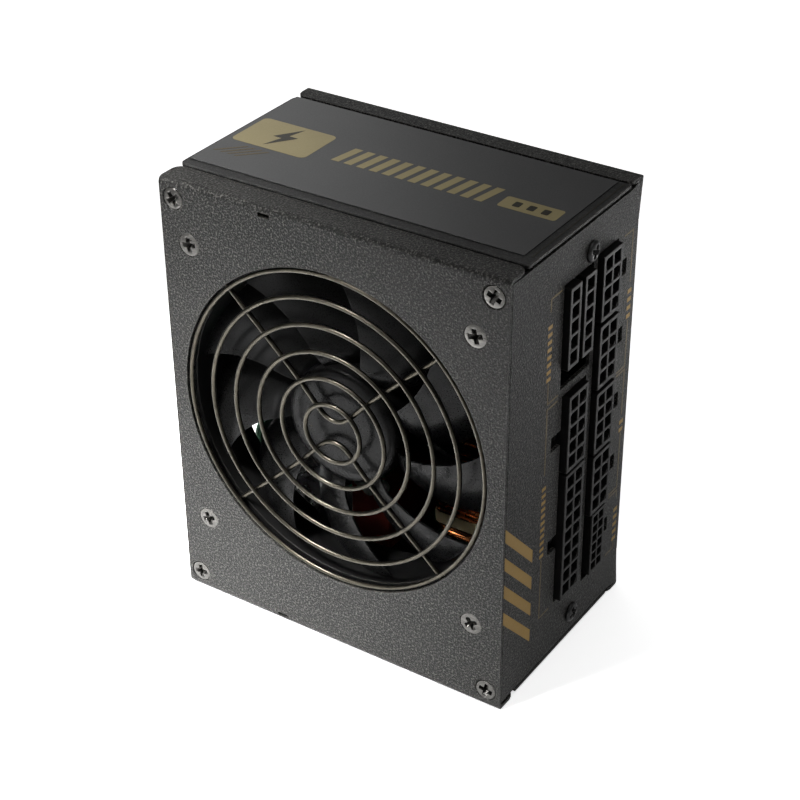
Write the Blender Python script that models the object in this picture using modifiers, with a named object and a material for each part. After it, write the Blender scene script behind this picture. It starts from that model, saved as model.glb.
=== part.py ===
"""Compact modular power supply, small form factor, 100 x 63.5 x 125 mm case.

The unit stands on one narrow side.  The fan side faces -Y, the modular sockets
face +X, the mains inlet and the switch face -X, and the board lies along +Y.
All driving dimensions are in millimetres; the MM factor turns them into metres.
"""
import math

import bmesh
import bpy
from mathutils import Matrix, Vector

MM = 0.001

# ---- case -------------------------------------------------------------------
CASE_X = 50.0            # half depth, rear wall to socket wall
CASE_Y = 31.75           # half thickness, fan side to closing plate
CASE_Z = 125.0           # length, standing
SHEET = 1.0              # steel sheet thickness
FIT = 0.3                # gap between pieces that touch
FOLD = 1.4               # outer radius of a fold
WALL_Z0 = 2.1            # lower edge of the two end walls
WALL_Z1 = 122.9          # upper edge of the two end walls
FAR_FLANGE = 5.95        # width of the closing plate's flanges
NEAR_FLANGE = 7.8        # width of the fan cover's flanges
COVER_TOP = 124.3        # the cover's upper flange lies a little lower
PANEL_TOP = 124.7
PANEL_BOTTOM = 0.6
PANEL_Y0 = -23.6
PANEL_Y1 = 25.5
LABEL_THICK = 0.2
LABEL_GAP = 0.05
CORNER_CUT = 2.4         # rounding of a flange's free corner
TAB = 9.0                # tabs folded in behind the fan cover
TAB_Z = 10.0
LIP = 6.0                # lips folded in under the side panels

# ---- fan --------------------------------------------------------------------
FAN_X = -0.3
FAN_Z = 66.1
FAN_SIZE = 92.0
FAN_DEPTH = 15.0
FAN_HOLES = 41.5         # half spacing of the screw holes
OPENING_R = 45.5
BORE_R = 44.3
BLADE_R = 43.2
HUB_R = 16.3
HUB_WALL = 1.4
BLADES = 9
LEAD_TIP = 90.0          # angle of a blade's leading edge at the tip, degrees
LEAD_ROOT = 70.0
WIDTH_TIP = 31.0         # angle that a blade covers at the tip
WIDTH_ROOT = 41.0
WIRE_R = 0.6
EYE_R = 2.9
RING_RADII = (8.25, 15.5, 22.7, 30.0, 37.3, 44.4)
COVER_OUT = -CASE_Y
COVER_IN = COVER_OUT + SHEET
SPOKE_Y = COVER_IN + FIT + WIRE_R
RING_Y = SPOKE_Y - 1.1
FAN_FRONT = SPOKE_Y + WIRE_R + FIT
HUB_FRONT = FAN_FRONT + 1.0
FAN_FLANGE = 3.0
FAN_CORNER = 4.0         # rounding of the frame's corners
FAN_POST_R = 3.9
FAN_POST_HOLE_R = 2.15
MOTOR_BASE = 2.6         # thickness of the motor plate and its struts
STRUT_WIDTH = 3.4
STRUT_TURN = 20.0        # angle of the first strut, degrees
BEARING_SEAT_R = 3.35
HUB_SKIRT = 10.2         # depth of the cup-shaped hub
GUARD_STEPS = 28         # sides of a large guard ring
GUARD_STEPS_SMALL = 16

# ---- screws -----------------------------------------------------------------
COVER_SCREW_X = 45.9
COVER_SCREW_Z = (5.1, 119.2)
SOCKET_WALL_SCREWS = ((6.6, 115.0), (4.9, 7.9))
FAN_HEAD_R = 3.05
COVER_HEAD_R = 2.85
WALL_HEAD_R = 2.75
SHANK_R = 1.45
SHANK_END = 6.0
TAB_HOLE_R = 2.2
WALL_HOLE_R = 1.7
SINK_TOP_R = 3.8         # the countersink runs past both faces of the cover
SINK_END_R = 1.9
SINK_DEPTH = 2.2
SLOT_X = (-19.8, -16.3)  # narrow slots beside the cover's two folds
SLOT_Z = (0.9, 121.4)
SLOT_HEIGHT = 1.2

# ---- socket wall ------------------------------------------------------------
PITCH = 4.2              # cell pitch of the power sockets
SMALL_PITCH = 3.0        # cell pitch of the 12-way graphics socket
SOCKET_PROUD = 1.5
SOCKET_BACK = 37.1
CELL = 3.3
CELL_DEPTH = 9.5
NOTCH_Z = 4.4            # width of a latch notch in the wall
NARROW_Y = (-3.05, 4.1)  # centres of the two single-row sockets
LEFT_Y = 0.85            # centre of the two board sockets
RIGHT_Y = 15.3           # centre of the processor and graphics sockets
NARROW_Z = 99.6
RIGHT_Z = (102.9, 83.5, 64.1, 45.0)
SMALL_Z = 25.7
BOARD10_Z = 68.75
BOARD18_Z = 37.25
WINDOWS = (              # low (y, z) and high (y, z) of each window in the wall
    ((-6.5, 82.9), (8.1, 111.7)),
    ((-5.2, 17.3), (7.0, 80.6)),
    ((9.9, 14.6), (20.7, 112.5)),
)
LEFT_NOTCHES = ((-9.85, BOARD10_Z), (-9.45, BOARD18_Z))
RIGHT_NOTCH_END = 25.4
SMALL_NOTCH_END = 23.6
CATCH_X = (43.5, 48.2)   # the ramp that a plug's latch hooks behind
CATCH_PROUD = 1.1
CATCH_HALF = 1.6

# ---- rear wall --------------------------------------------------------------
INLET_Y = 10.0
INLET_Z = 100.0
SWITCH_Y = 10.0
SWITCH_Z = 70.0
ROCKER_TILT = 12.0       # each way from the middle, degrees
INLET_HALF = (10.3, 14.1)  # half size of the inlet's opening, y and z
SWITCH_HALF = (6.7, 9.8)
BEZEL_OUT = -CASE_X - 2.0
BEZEL_IN = -CASE_X - 0.2
CAVITY_Y = 8.3
CAVITY_Z = 12.2
CAVITY_DEPTH = 16.5
INLET_END = -31.0
INLET_PINS = (("live_pin", -2.0, 7.0), ("neutral_pin", -2.0, -7.0), ("earth_pin", 2.0, 0.0))
PIN_HALF = (2.0, 1.0)
PIN_END = -26.5
SWITCH_END = -35.0
WELL_END = -40.0
PIVOT_X = -47.7
ROCKER_HALF = 7.6
ROCKER_WIDE = 4.8
VENT_FLAT = 6.6          # across the flats of a vent hexagon
VENT_PITCH = 8.3
VENT_ROWS = 3            # rows each side of the middle one
VENT_START = 9.0         # margin below the lowest and above the highest vent
MOUNT_Y = 25.75          # half of 51.5
MOUNT_Z = 56.5           # half of 113
MOUNT_HOLE_R = 1.7

# ---- board ------------------------------------------------------------------
BOARD_Y0 = 24.5
BOARD_Y1 = 26.1
PARTS_Y = BOARD_Y0 - FIT  # where the parts on the board begin
BOARD_X = (-46.0, 33.0)
BOARD_Z = (4.0, 121.0)
MODULAR_X0 = 35.2
STANDOFFS = ((-42.0, 10.0), (-42.0, 116.0), (28.0, 10.0), (28.0, 116.0))
STANDOFF_R = 2.5
BULK_CAPACITOR = (-30.5, 30.0, 12.5, 33.0)       # x, z, radius, height
BOOST_CHOKE = (21.0, 8.0, 34.0, 14.5, 6.0, 14.0)  # x, y, z, radius, hole, width
LINE_CHOKE = (-13.0, 17.5, 106.0, 10.5, 4.0, 12.0)
FILM_CAPACITOR = ((-15.0, -3.0, 12.0), (-2.0, PARTS_Y, 30.0))
LINE_CAPACITOR = ((0.0, 6.0, 101.0), (12.0, PARTS_Y, 119.0))
BRIDGE = ((-17.0, 2.0, 52.0), (-13.4, PARTS_Y, 74.0))
STANDBY = ((14.0, 8.0, 104.0), (24.0, PARTS_Y, 118.0))
CONTROL = ((-5.0, -4.0, 36.0), (-3.4, PARTS_Y, 62.0))
FUSE = (-21.5, 20.5, 84.0, 2.6, 20.0)            # x, y, z, radius, length
PRIMARY_SINK = (-12.9, -10.9, 38.0, 92.0, 6.0)   # x0, x1, z0, z1, comb pitch
SECONDARY_SINK = (27.0, 29.0, 60.0, 106.0, 5.75)
SINK_TOP = -7.0
TRANSFORMER = (8.0, 80.0)                        # x, z
PLUG = ((-30.0, 16.5, 50.0), (-24.5, PARTS_Y, 58.0))
LEAD_R = 1.1
LEAD_ROUTE = (
    (-27.2, 16.0, 54.0), (-27.2, 12.0, 54.0), (-26.6, 6.0, 54.5), (-25.0, 0.0, 56.5),
    (-22.0, -5.0, 59.5), (-18.0, -8.0, 62.0), (-12.0, -10.5, 63.6), (-7.0, -12.2, 64.2),
)

SHIFT_X = 1.273            # puts the middle of the whole unit on the origin

PARTS = None
CUTTERS = None
ROOT = None


# ---- helpers ----------------------------------------------------------------
def clear_scene():
    for item in list(bpy.data.objects):
        bpy.data.objects.remove(item, do_unlink=True)


def new_collection(name):
    group = bpy.data.collections.new(name)
    bpy.context.scene.collection.children.link(group)
    return group


def finish(obj, colour, rough, metal=0.0):
    mat = bpy.data.materials.new(obj.name + "_finish")
    mat.use_nodes = True
    shader = mat.node_tree.nodes["Principled BSDF"]
    shader.inputs["Base Color"].default_value = (*colour, 1.0)
    shader.inputs["Roughness"].default_value = rough
    shader.inputs["Metallic"].default_value = metal
    obj.data.materials.clear()
    obj.data.materials.append(mat)
    return obj


def add(name, bm, group=None, parent=None):
    """Make an object from a bmesh that is in millimetres."""
    bmesh.ops.scale(bm, vec=(MM, MM, MM), verts=bm.verts)
    bmesh.ops.recalc_face_normals(bm, faces=bm.faces)
    mesh = bpy.data.meshes.new(name)
    bm.to_mesh(mesh)
    bm.free()
    obj = bpy.data.objects.new(name, mesh)
    (group or PARTS).objects.link(obj)
    obj.parent = parent or ROOT
    return obj


def place(obj, x, y, z):
    obj.location = (x * MM, y * MM, z * MM)
    return obj


def as_cutter(obj):
    obj.hide_render = True
    obj.display_type = "WIRE"
    return obj


def add_box(bm, lo, hi):
    size = [h - l for l, h in zip(lo, hi)]
    mid = [(h + l) / 2 for l, h in zip(lo, hi)]
    matrix = Matrix.Translation(mid) @ Matrix.Diagonal((*size, 1.0))
    return bmesh.ops.create_cube(bm, size=1.0, matrix=matrix)["verts"]


def along(axis):
    """Rotation that turns a cone's +Z towards the named axis."""
    if axis == "X":
        return Matrix.Rotation(math.radians(90), 4, "Y")
    if axis == "Y":
        return Matrix.Rotation(math.radians(-90), 4, "X")
    return Matrix.Identity(4)


def add_cone(bm, centre, radius, radius_end, length, axis, segments):
    matrix = Matrix.Translation(centre) @ along(axis)
    return bmesh.ops.create_cone(
        bm, cap_ends=True, segments=segments, radius1=radius, radius2=radius_end,
        depth=length, matrix=matrix)["verts"]


def add_rod(bm, centre, radius, length, axis, segments=24):
    return add_cone(bm, centre, radius, radius, length, axis, segments)


def box(name, lo, hi, group=None):
    bm = bmesh.new()
    add_box(bm, lo, hi)
    return add(name, bm, group)


def rod(name, centre, radius, length, axis, segments=24, group=None):
    bm = bmesh.new()
    add_rod(bm, (0, 0, 0), radius, length, axis, segments)
    return smooth(place(add(name, bm, group), *centre))


def bevel(obj, width, segments=2, angle=40):
    mod = obj.modifiers.new("edges", "BEVEL")
    mod.width = width * MM
    mod.segments = segments
    mod.limit_method = "ANGLE"
    mod.angle_limit = math.radians(angle)
    return obj


def boolean(obj, other, operation):
    mod = obj.modifiers.new(operation.lower(), "BOOLEAN")
    mod.operation = operation
    mod.object = other
    as_cutter(other)
    return obj


def cut(obj, bm):
    """Cut the shapes of a bmesh out of an object."""
    return boolean(obj, add(obj.name + "_cutter", bm, CUTTERS), "DIFFERENCE")


def smooth(obj, angle=35):
    obj.data.shade_smooth()
    obj.data.set_sharp_from_angle(angle=math.radians(angle))
    return obj


def lathe(name, profile, axis="Y", steps=32, group=None):
    """Turn a closed profile of (radius, height) points about the local axis."""
    bm = bmesh.new()
    verts = [bm.verts.new((r, 0, h)) for r, h in profile]
    closed = profile[0][0] > 0
    for first, second in zip(verts, verts[1:]):
        bm.edges.new((first, second))
    if closed:
        bm.edges.new((verts[-1], verts[0]))
    bmesh.ops.scale(bm, vec=(MM, MM, MM), verts=bm.verts)
    mesh = bpy.data.meshes.new(name)
    bm.to_mesh(mesh)
    bm.free()
    obj = bpy.data.objects.new(name, mesh)
    (group or PARTS).objects.link(obj)
    obj.parent = ROOT
    mod = obj.modifiers.new("turn", "SCREW")
    mod.axis = "Z"
    mod.steps = steps
    mod.render_steps = steps
    mod.use_merge_vertices = True
    mod.merge_threshold = 0.00001
    mod.use_smooth_shade = True
    if axis == "Y":
        obj.rotation_euler = (math.radians(-90), 0, 0)
    if axis == "X":
        obj.rotation_euler = (0, math.radians(90), 0)
    return obj


def wire(name, points, radius, cyclic=False, sides=2):
    """A round wire along millimetre points, as a closed mesh."""
    curve = bpy.data.curves.new(name, "CURVE")
    curve.dimensions = "3D"
    curve.bevel_depth = radius * MM
    curve.bevel_resolution = sides
    curve.use_fill_caps = True
    spline = curve.splines.new("POLY")
    spline.points.add(len(points) - 1)
    for point, co in zip(spline.points, points):
        point.co = (co[0] * MM, co[1] * MM, co[2] * MM, 1.0)
    spline.use_cyclic_u = cyclic
    source = bpy.data.objects.new(name + "_curve", curve)
    CUTTERS.objects.link(source)
    bpy.context.view_layer.update()
    depsgraph = bpy.context.evaluated_depsgraph_get()
    mesh = bpy.data.meshes.new_from_object(source.evaluated_get(depsgraph))
    bm = bmesh.new()
    bm.from_mesh(mesh)
    bmesh.ops.remove_doubles(bm, verts=bm.verts, dist=0.000001)
    bmesh.ops.recalc_face_normals(bm, faces=bm.faces)
    bm.to_mesh(mesh)
    bm.free()
    bpy.data.objects.remove(source, do_unlink=True)
    mesh.shade_smooth()
    return mesh


def mesh_object(name, mesh, group=None):
    mesh.name = name
    obj = bpy.data.objects.new(name, mesh)
    (group or PARTS).objects.link(obj)
    obj.parent = ROOT
    return obj


# ---- folded sheet -----------------------------------------------------------
def envelope(z_top):
    bm = bmesh.new()
    add_box(bm, (-CASE_X, -CASE_Y, 0.0), (CASE_X, CASE_Y, z_top))
    return bm


def slice_at(bm, axis, value):
    point = [0.0, 0.0, 0.0]
    normal = [0.0, 0.0, 0.0]
    point["XYZ".index(axis)] = value
    normal["XYZ".index(axis)] = 1.0
    geom = list(bm.verts) + list(bm.edges) + list(bm.faces)
    bmesh.ops.bisect_plane(bm, geom=geom, plane_co=point, plane_no=normal, dist=1e-5)


def drop_faces(bm, test):
    doomed = [f for f in bm.faces if test(f.calc_center_median(), f.normal)]
    bmesh.ops.delete(bm, geom=doomed, context="FACES")


def edges_where(bm, test):
    return [e for e in bm.edges if all(test(v.co) for v in e.verts)]


def close_to(a, b):
    return abs(a - b) < 1e-4


def fold_edges(bm, edges):
    bmesh.ops.bevel(bm, geom=edges, offset=FOLD, segments=3, profile=0.5,
                    affect="EDGES", clamp_overlap=True)


def round_corners(bm, test, radius=CORNER_CUT):
    verts = [v for v in bm.verts if test(v.co)]
    bmesh.ops.bevel(bm, geom=verts, offset=radius, segments=3, profile=0.5,
                    affect="VERTICES")


def pull_lip(bm, edges, vector):
    made = bmesh.ops.extrude_edge_only(bm, edges=edges)["geom"]
    verts = [g for g in made if isinstance(g, bmesh.types.BMVert)]
    bmesh.ops.translate(bm, vec=vector, verts=verts)


def thicken(obj):
    mod = obj.modifiers.new("sheet", "SOLIDIFY")
    mod.thickness = SHEET * MM
    mod.offset = -1.0
    mod.use_even_offset = True
    return obj


def base_sheet():
    """Closing plate, its two flanges, the socket wall and the rear wall."""
    flange_y = CASE_Y - FAR_FLANGE
    wall_y = COVER_IN + FIT
    lip_y = (-21.0, 22.0)
    bm = envelope(CASE_Z)
    drop_faces(bm, lambda c, n: n.y < -0.5)
    for value in (WALL_Z0, WALL_Z0 + TAB_Z, WALL_Z1 - TAB_Z, WALL_Z1):
        slice_at(bm, "Z", value)
    for value in (wall_y, lip_y[0], lip_y[1], flange_y):
        slice_at(bm, "Y", value)
    drop_faces(bm, lambda c, n: abs(n.z) > 0.5 and c.y < flange_y)
    drop_faces(bm, lambda c, n: abs(n.x) > 0.5 and not WALL_Z0 < c.z < WALL_Z1)
    drop_faces(bm, lambda c, n: c.y < wall_y)
    round_corners(bm, lambda v: close_to(v.y, flange_y) and min(v.z, CASE_Z - v.z) < 0.01)
    for side in (-1, 1):
        for z in (WALL_Z0, WALL_Z1):
            inner = edges_where(bm, lambda v: close_to(v.x, side * CASE_X)
                                and close_to(v.z, z)
                                and lip_y[0] - 0.01 < v.y < lip_y[1] + 0.01)
            pull_lip(bm, inner, (-side * LIP, 0, 0))
        for low in (WALL_Z0, WALL_Z1 - TAB_Z):
            tab = edges_where(bm, lambda v: close_to(v.x, side * CASE_X)
                              and close_to(v.y, wall_y)
                              and low - 0.01 < v.z < low + TAB_Z + 0.01)
            pull_lip(bm, tab, (-side * TAB, 0, 0))
    fold_edges(bm, edges_where(bm, lambda v: close_to(v.y, CASE_Y)
                               and (close_to(abs(v.x), CASE_X)
                                    and WALL_Z0 - 0.01 < v.z < WALL_Z1 + 0.01)))
    fold_edges(bm, edges_where(bm, lambda v: close_to(v.y, CASE_Y)
                               and min(v.z, CASE_Z - v.z) < 0.01))
    return thicken(add("case_base", bm))


def cover_sheet():
    """Fan side with its two narrow flanges."""
    flange_y = -CASE_Y + NEAR_FLANGE
    bm = envelope(COVER_TOP)
    drop_faces(bm, lambda c, n: n.y > 0.5 or abs(n.x) > 0.5)
    slice_at(bm, "Y", flange_y)
    drop_faces(bm, lambda c, n: c.y > flange_y)
    round_corners(bm, lambda v: close_to(v.y, flange_y))
    fold_edges(bm, edges_where(bm, lambda v: close_to(v.y, -CASE_Y)
                               and min(v.z, COVER_TOP - v.z) < 0.01))
    return thicken(add("fan_cover", bm))


# ---- case -------------------------------------------------------------------
def vent_centres():
    """Hexagon rows on the rear wall, clear of the inlet, switch and screw holes."""
    row_step = VENT_PITCH * math.sqrt(3) / 2
    centres = []
    for row in range(-VENT_ROWS, VENT_ROWS + 1):
        for column in range(int(CASE_Z / VENT_PITCH)):
            y = row * row_step
            z = VENT_START + (column + 0.5 * (row % 2)) * VENT_PITCH
            near_inlet = abs(y - INLET_Y) < 17.5 and z > SWITCH_Z - 15.5
            near_mount = abs(y) > 17.0 and min(z, CASE_Z - z) < 11.0
            if z < CASE_Z - VENT_START and not near_inlet and not near_mount:
                centres.append((y, z))
    return centres


def wall_windows():
    """Cutters for the socket windows and, in one mesh, for their latch notches."""
    x0 = CASE_X - 3.0
    x1 = CASE_X + 3.0
    cutters = []
    for low, high in WINDOWS:
        bm = bmesh.new()
        add_box(bm, (x0, low[0], low[1]), (x1, high[0], high[1]))
        cutters.append(bm)
    left_end = WINDOWS[1][0][0] + 0.2
    right_start = WINDOWS[2][1][0] - 0.2
    notches = [(y0, left_end, z) for y0, z in LEFT_NOTCHES]
    notches += [(right_start, RIGHT_NOTCH_END, z) for z in RIGHT_Z]
    notches += [(right_start, SMALL_NOTCH_END, SMALL_Z)]
    bm = bmesh.new()
    for y0, y1, z in notches:
        add_box(bm, (x0, y0, z - NOTCH_Z / 2), (x1, y1, z + NOTCH_Z / 2))
    return cutters + [bm]


def screw_hole_cutter():
    bm = bmesh.new()
    for y, z in SOCKET_WALL_SCREWS:
        add_rod(bm, (CASE_X, y, z), WALL_HOLE_R, 6.0, "X", 12)
    for x, z in cover_screw_places():
        add_rod(bm, (x, COVER_IN + SHEET, z), TAB_HOLE_R, 4.0, "Y", 12)
    return bm


def rear_cutter():
    """Openings for the inlet and the switch, the vents and the four fixing holes."""
    bm = bmesh.new()
    x = -CASE_X
    for y, z, half in ((INLET_Y, INLET_Z, INLET_HALF), (SWITCH_Y, SWITCH_Z, SWITCH_HALF)):
        add_box(bm, (x - 3, y - half[0], z - half[1]), (x + 3, y + half[0], z + half[1]))
    for y, z in vent_centres():
        add_rod(bm, (x, y, z), VENT_FLAT / math.sqrt(3), 4.0, "X", 6)
    for sy in (-1, 1):
        for sz in (-1, 1):
            centre = (x, sy * MOUNT_Y, CASE_Z / 2 + sz * MOUNT_Z)
            add_rod(bm, centre, MOUNT_HOLE_R, 4.0, "X", 12)
    return bm


def case_base():
    base = base_sheet()
    cutters = wall_windows() + [screw_hole_cutter(), rear_cutter()]
    for number, bm in enumerate(cutters):
        boolean(base, add("case_cutter_%d" % number, bm, CUTTERS), "DIFFERENCE")
    finish(base, (0.035, 0.035, 0.037), 0.55, 0.3)


def fan_cover():
    cover = cover_sheet()
    bm = bmesh.new()
    add_rod(bm, (FAN_X, COVER_OUT, FAN_Z), OPENING_R, 6.0, "Y", 60)
    for z0 in SLOT_Z:
        add_box(bm, (SLOT_X[0], COVER_OUT - 2, z0), (SLOT_X[1], COVER_OUT + 3, z0 + SLOT_HEIGHT))
    cut(cover, bm)
    bm = bmesh.new()
    for x, z in fan_screw_places() + cover_screw_places():
        add_cone(bm, (x, COVER_OUT + SHEET / 2, z), SINK_TOP_R, SINK_END_R, SINK_DEPTH, "Y", 12)
    boolean(cover, add("countersinks", bm, CUTTERS), "DIFFERENCE")
    finish(cover, (0.035, 0.035, 0.037), 0.55, 0.3)


def side_panels():
    for name, z in (("side_panel_top", PANEL_TOP - SHEET), ("side_panel_bottom", PANEL_BOTTOM)):
        bm = bmesh.new()
        add_box(bm, (-CASE_X, PANEL_Y0, z), (CASE_X, PANEL_Y1, z + SHEET))
        corners = [e for e in bm.edges if close_to(e.verts[0].co.x, e.verts[1].co.x)
                   and close_to(e.verts[0].co.y, e.verts[1].co.y) and e.verts[0].co.x < 0]
        bmesh.ops.bevel(bm, geom=corners, offset=1.8, segments=3, profile=0.5,
                        affect="EDGES")
        finish(add(name, bm), (0.03, 0.03, 0.032), 0.45, 0.3)


def labels():
    top = PANEL_TOP + LABEL_GAP
    bottom = PANEL_BOTTOM - LABEL_GAP - LABEL_THICK
    for name, z in (("side_label", top), ("rating_label", bottom)):
        label = box(name, (-49.2, -20.3, z), (46.8, 24.9, z + LABEL_THICK))
        finish(label, (0.02, 0.02, 0.022), 0.35)


# ---- screws -----------------------------------------------------------------
def fan_screw_places():
    return [(FAN_X + sx * FAN_HOLES, FAN_Z + sz * FAN_HOLES)
            for sx in (-1, 1) for sz in (-1, 1)]


def cover_screw_places():
    return [(sx * COVER_SCREW_X, z) for sx in (-1, 1) for z in COVER_SCREW_Z]


def countersunk_screw(name, head_r):
    """Flat-headed screw, head at the origin, shank towards local +Z."""
    profile = [(0, SHANK_END), (SHANK_R, SHANK_END - 0.5), (SHANK_R, 1.5), (head_r, 0.15),
               (head_r - 0.1, 0.0), (0, 0.0)]
    return lathe(name, profile, "Z", 12)


def place_screws():
    kinds = (("fan_screw", fan_screw_places(), FAN_HEAD_R),
             ("cover_screw", cover_screw_places(), COVER_HEAD_R))
    for kind, places, head_r in kinds:
        for number, (x, z) in enumerate(places, 1):
            body = countersunk_screw("%s_%d" % (kind, number), head_r)
            body.rotation_euler = (math.radians(-90), 0, 0)
            place(body, x, COVER_OUT + 0.1, z)
            finish(body, (0.45, 0.45, 0.46), 0.3, 1.0)
    for number, (y, z) in enumerate(SOCKET_WALL_SCREWS, 1):
        profile = [(0, SHANK_END), (SHANK_R, SHANK_END - 0.5), (SHANK_R, -FIT),
                   (WALL_HEAD_R, -FIT), (WALL_HEAD_R, -0.7), (WALL_HEAD_R - 0.55, -1.1), (0, -1.2)]
        body = lathe("socket_wall_screw_%d" % number, profile, "Z", 12)
        body.rotation_euler = (0, math.radians(-90), 0)
        place(body, CASE_X, y, z)
        finish(body, (0.03, 0.03, 0.03), 0.35, 1.0)


# ---- fan --------------------------------------------------------------------
def union_all(name, meshes):
    """Join overlapping closed meshes into one solid."""
    main = mesh_object(name, meshes[0])
    for number, mesh in enumerate(meshes[1:]):
        other = mesh_object("%s_add_%d" % (name, number), mesh, CUTTERS)
        boolean(main, other, "UNION")
    return main


def ring_points(radius, count, y):
    return [(FAN_X + radius * math.cos(math.tau * i / count), y,
             FAN_Z + radius * math.sin(math.tau * i / count)) for i in range(count)]


def spoke_points(side):
    """One bent wire: in along a diagonal, round a U and out along the other."""
    eye = FAN_HOLES
    points = []
    for hand in (-1, 1):
        arm = []
        for step in range(9):
            angle = math.radians(-100 + 35 * step)
            arm.append((hand * (eye + EYE_R * math.cos(angle)), eye + EYE_R * math.sin(angle)))
        arm.append((hand * 22.0, 23.2))
        arm.append((hand * 7.6, 9.6))
        arm.append((hand * 5.2, 6.2))
        arm.append((hand * 2.8, 3.8))
        if hand > 0:
            arm = arm[::-1]
            points.append((0.0, 3.2))
        points += arm
    return [(FAN_X + x, SPOKE_Y, FAN_Z + side * z) for x, z in points]


def wire_guard():
    meshes = []
    for side in (1, -1):
        meshes.append(wire("guard_wire", spoke_points(side), WIRE_R, sides=1))
    for radius in RING_RADII:
        count = GUARD_STEPS_SMALL if radius < HUB_R else GUARD_STEPS
        meshes.append(wire("guard_ring", ring_points(radius, count, RING_Y), WIRE_R,
                           cyclic=True, sides=1))
    order = [meshes[2], meshes[0], meshes[1]] + meshes[3:]
    guard = union_all("wire_guard", order)
    finish(guard, (0.45, 0.42, 0.38), 0.35, 1.0)


def on_fan(obj):
    """Move a piece that is drawn round the fan's axis to its place."""
    return place(obj, FAN_X, FAN_FRONT, FAN_Z)


def fan_frame():
    """Square frame: two thin flanges, a round duct, four struts and a motor plate."""
    half = FAN_SIZE / 2
    bm = bmesh.new()
    for y in (0.0, FAN_DEPTH - FAN_FLANGE):
        add_box(bm, (-half, y, -half), (half, y + FAN_FLANGE, half))
    corners = [e for e in bm.edges if close_to(e.verts[0].co.x, e.verts[1].co.x)
               and close_to(e.verts[0].co.z, e.verts[1].co.z)]
    bmesh.ops.bevel(bm, geom=corners, offset=FAN_CORNER, segments=4, profile=0.5,
                    affect="EDGES")
    frame = on_fan(add("fan_frame", bm))
    middle = FAN_DEPTH / 2
    duct = bmesh.new()
    add_rod(duct, (0, middle, 0), half - 0.1, FAN_DEPTH - 1.0, "Y", 44)
    bore = bmesh.new()
    add_rod(bore, (0, middle, 0), BORE_R, FAN_DEPTH + 4, "Y", 44)
    posts = bmesh.new()
    holes = bmesh.new()
    for sx in (-1, 1):
        for sz in (-1, 1):
            centre = (sx * FAN_HOLES, middle, sz * FAN_HOLES)
            add_rod(posts, centre, FAN_POST_R, FAN_DEPTH - 2.0, "Y", 12)
            add_rod(holes, centre, FAN_POST_HOLE_R, FAN_DEPTH + 4, "Y", 12)
    boolean(frame, on_fan(add("fan_duct", duct, CUTTERS)), "UNION")
    boolean(frame, on_fan(add("fan_posts", posts, CUTTERS)), "UNION")
    boolean(frame, on_fan(add("fan_bore", bore, CUTTERS)), "DIFFERENCE")
    boolean(frame, on_fan(add("fan_holes", holes, CUTTERS)), "DIFFERENCE")
    bm = bmesh.new()
    add_rod(bm, (0, FAN_DEPTH - MOTOR_BASE / 2, 0), HUB_R + 0.6, MOTOR_BASE, "Y", 32)
    motor = on_fan(add("motor_plate", bm, CUTTERS))
    for turn in range(4):
        bm = bmesh.new()
        verts = add_box(bm, (12.0, FAN_DEPTH - MOTOR_BASE + 0.2, -STRUT_WIDTH / 2),
                        (BORE_R + 0.9, FAN_DEPTH - 0.2, STRUT_WIDTH / 2))
        angle = math.radians(STRUT_TURN + 90 * turn)
        bmesh.ops.rotate(bm, verts=verts, matrix=Matrix.Rotation(angle, 3, "Y"))
        boolean(motor, on_fan(add("fan_strut_%d" % turn, bm, CUTTERS)), "UNION")
    bm = bmesh.new()
    add_rod(bm, (0, FAN_DEPTH, 0), BEARING_SEAT_R, 12.0, "Y", 20)
    boolean(motor, on_fan(add("bearing_seat", bm, CUTTERS)), "DIFFERENCE")
    boolean(frame, motor, "UNION")
    finish(frame, (0.02, 0.02, 0.021), 0.45)


def blade_section(share, offset):
    """Points across one blade at a share of its span, from leading to trailing edge."""
    radius = HUB_R - 0.7 + (BLADE_R - HUB_R + 0.7) * share
    lead = LEAD_ROOT + (LEAD_TIP - LEAD_ROOT) * share ** 1.3
    width = WIDTH_ROOT + (WIDTH_TIP - WIDTH_ROOT) * share
    front = 0.9 + 0.5 * (1 - math.sin(math.pi * min(share * 1.1, 1.0)))
    depth = 9.6 - 1.6 * share
    points = []
    for step in range(5):
        across = step / 4
        angle = math.radians(lead - width * across)
        camber = 1.1 * math.sin(math.pi * across)
        half = (0.62 - 0.2 * share) * (0.45 + 0.75 * math.sin(math.pi * (0.12 + 0.76 * across)))
        y = front + depth * across - camber + offset * half
        points.append(Vector((radius * math.cos(angle), y, radius * math.sin(angle))))
    return points


def add_blade(bm, turn):
    """Loft one swept and twisted blade between its sections."""
    stations = [0.0, 0.18, 0.4, 0.62, 0.82, 1.0]
    rows = []
    for share in stations:
        loop = blade_section(share, -1) + blade_section(share, 1)[::-1]
        rows.append([bm.verts.new(point) for point in loop])
    count = len(rows[0])
    for lower, upper in zip(rows, rows[1:]):
        for i in range(count):
            j = (i + 1) % count
            bm.faces.new((lower[i], lower[j], upper[j], upper[i]))
    half = count // 2
    for row, flip in ((rows[0], False), (rows[-1], True)):
        for i in range(half - 1):
            quad = (row[i], row[i + 1], row[count - 2 - i], row[count - 1 - i])
            bm.faces.new(quad[::-1] if flip else quad)
    verts = [v for row in rows for v in row]
    bmesh.ops.rotate(bm, verts=verts, matrix=Matrix.Rotation(-turn, 3, "Y"))


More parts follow.
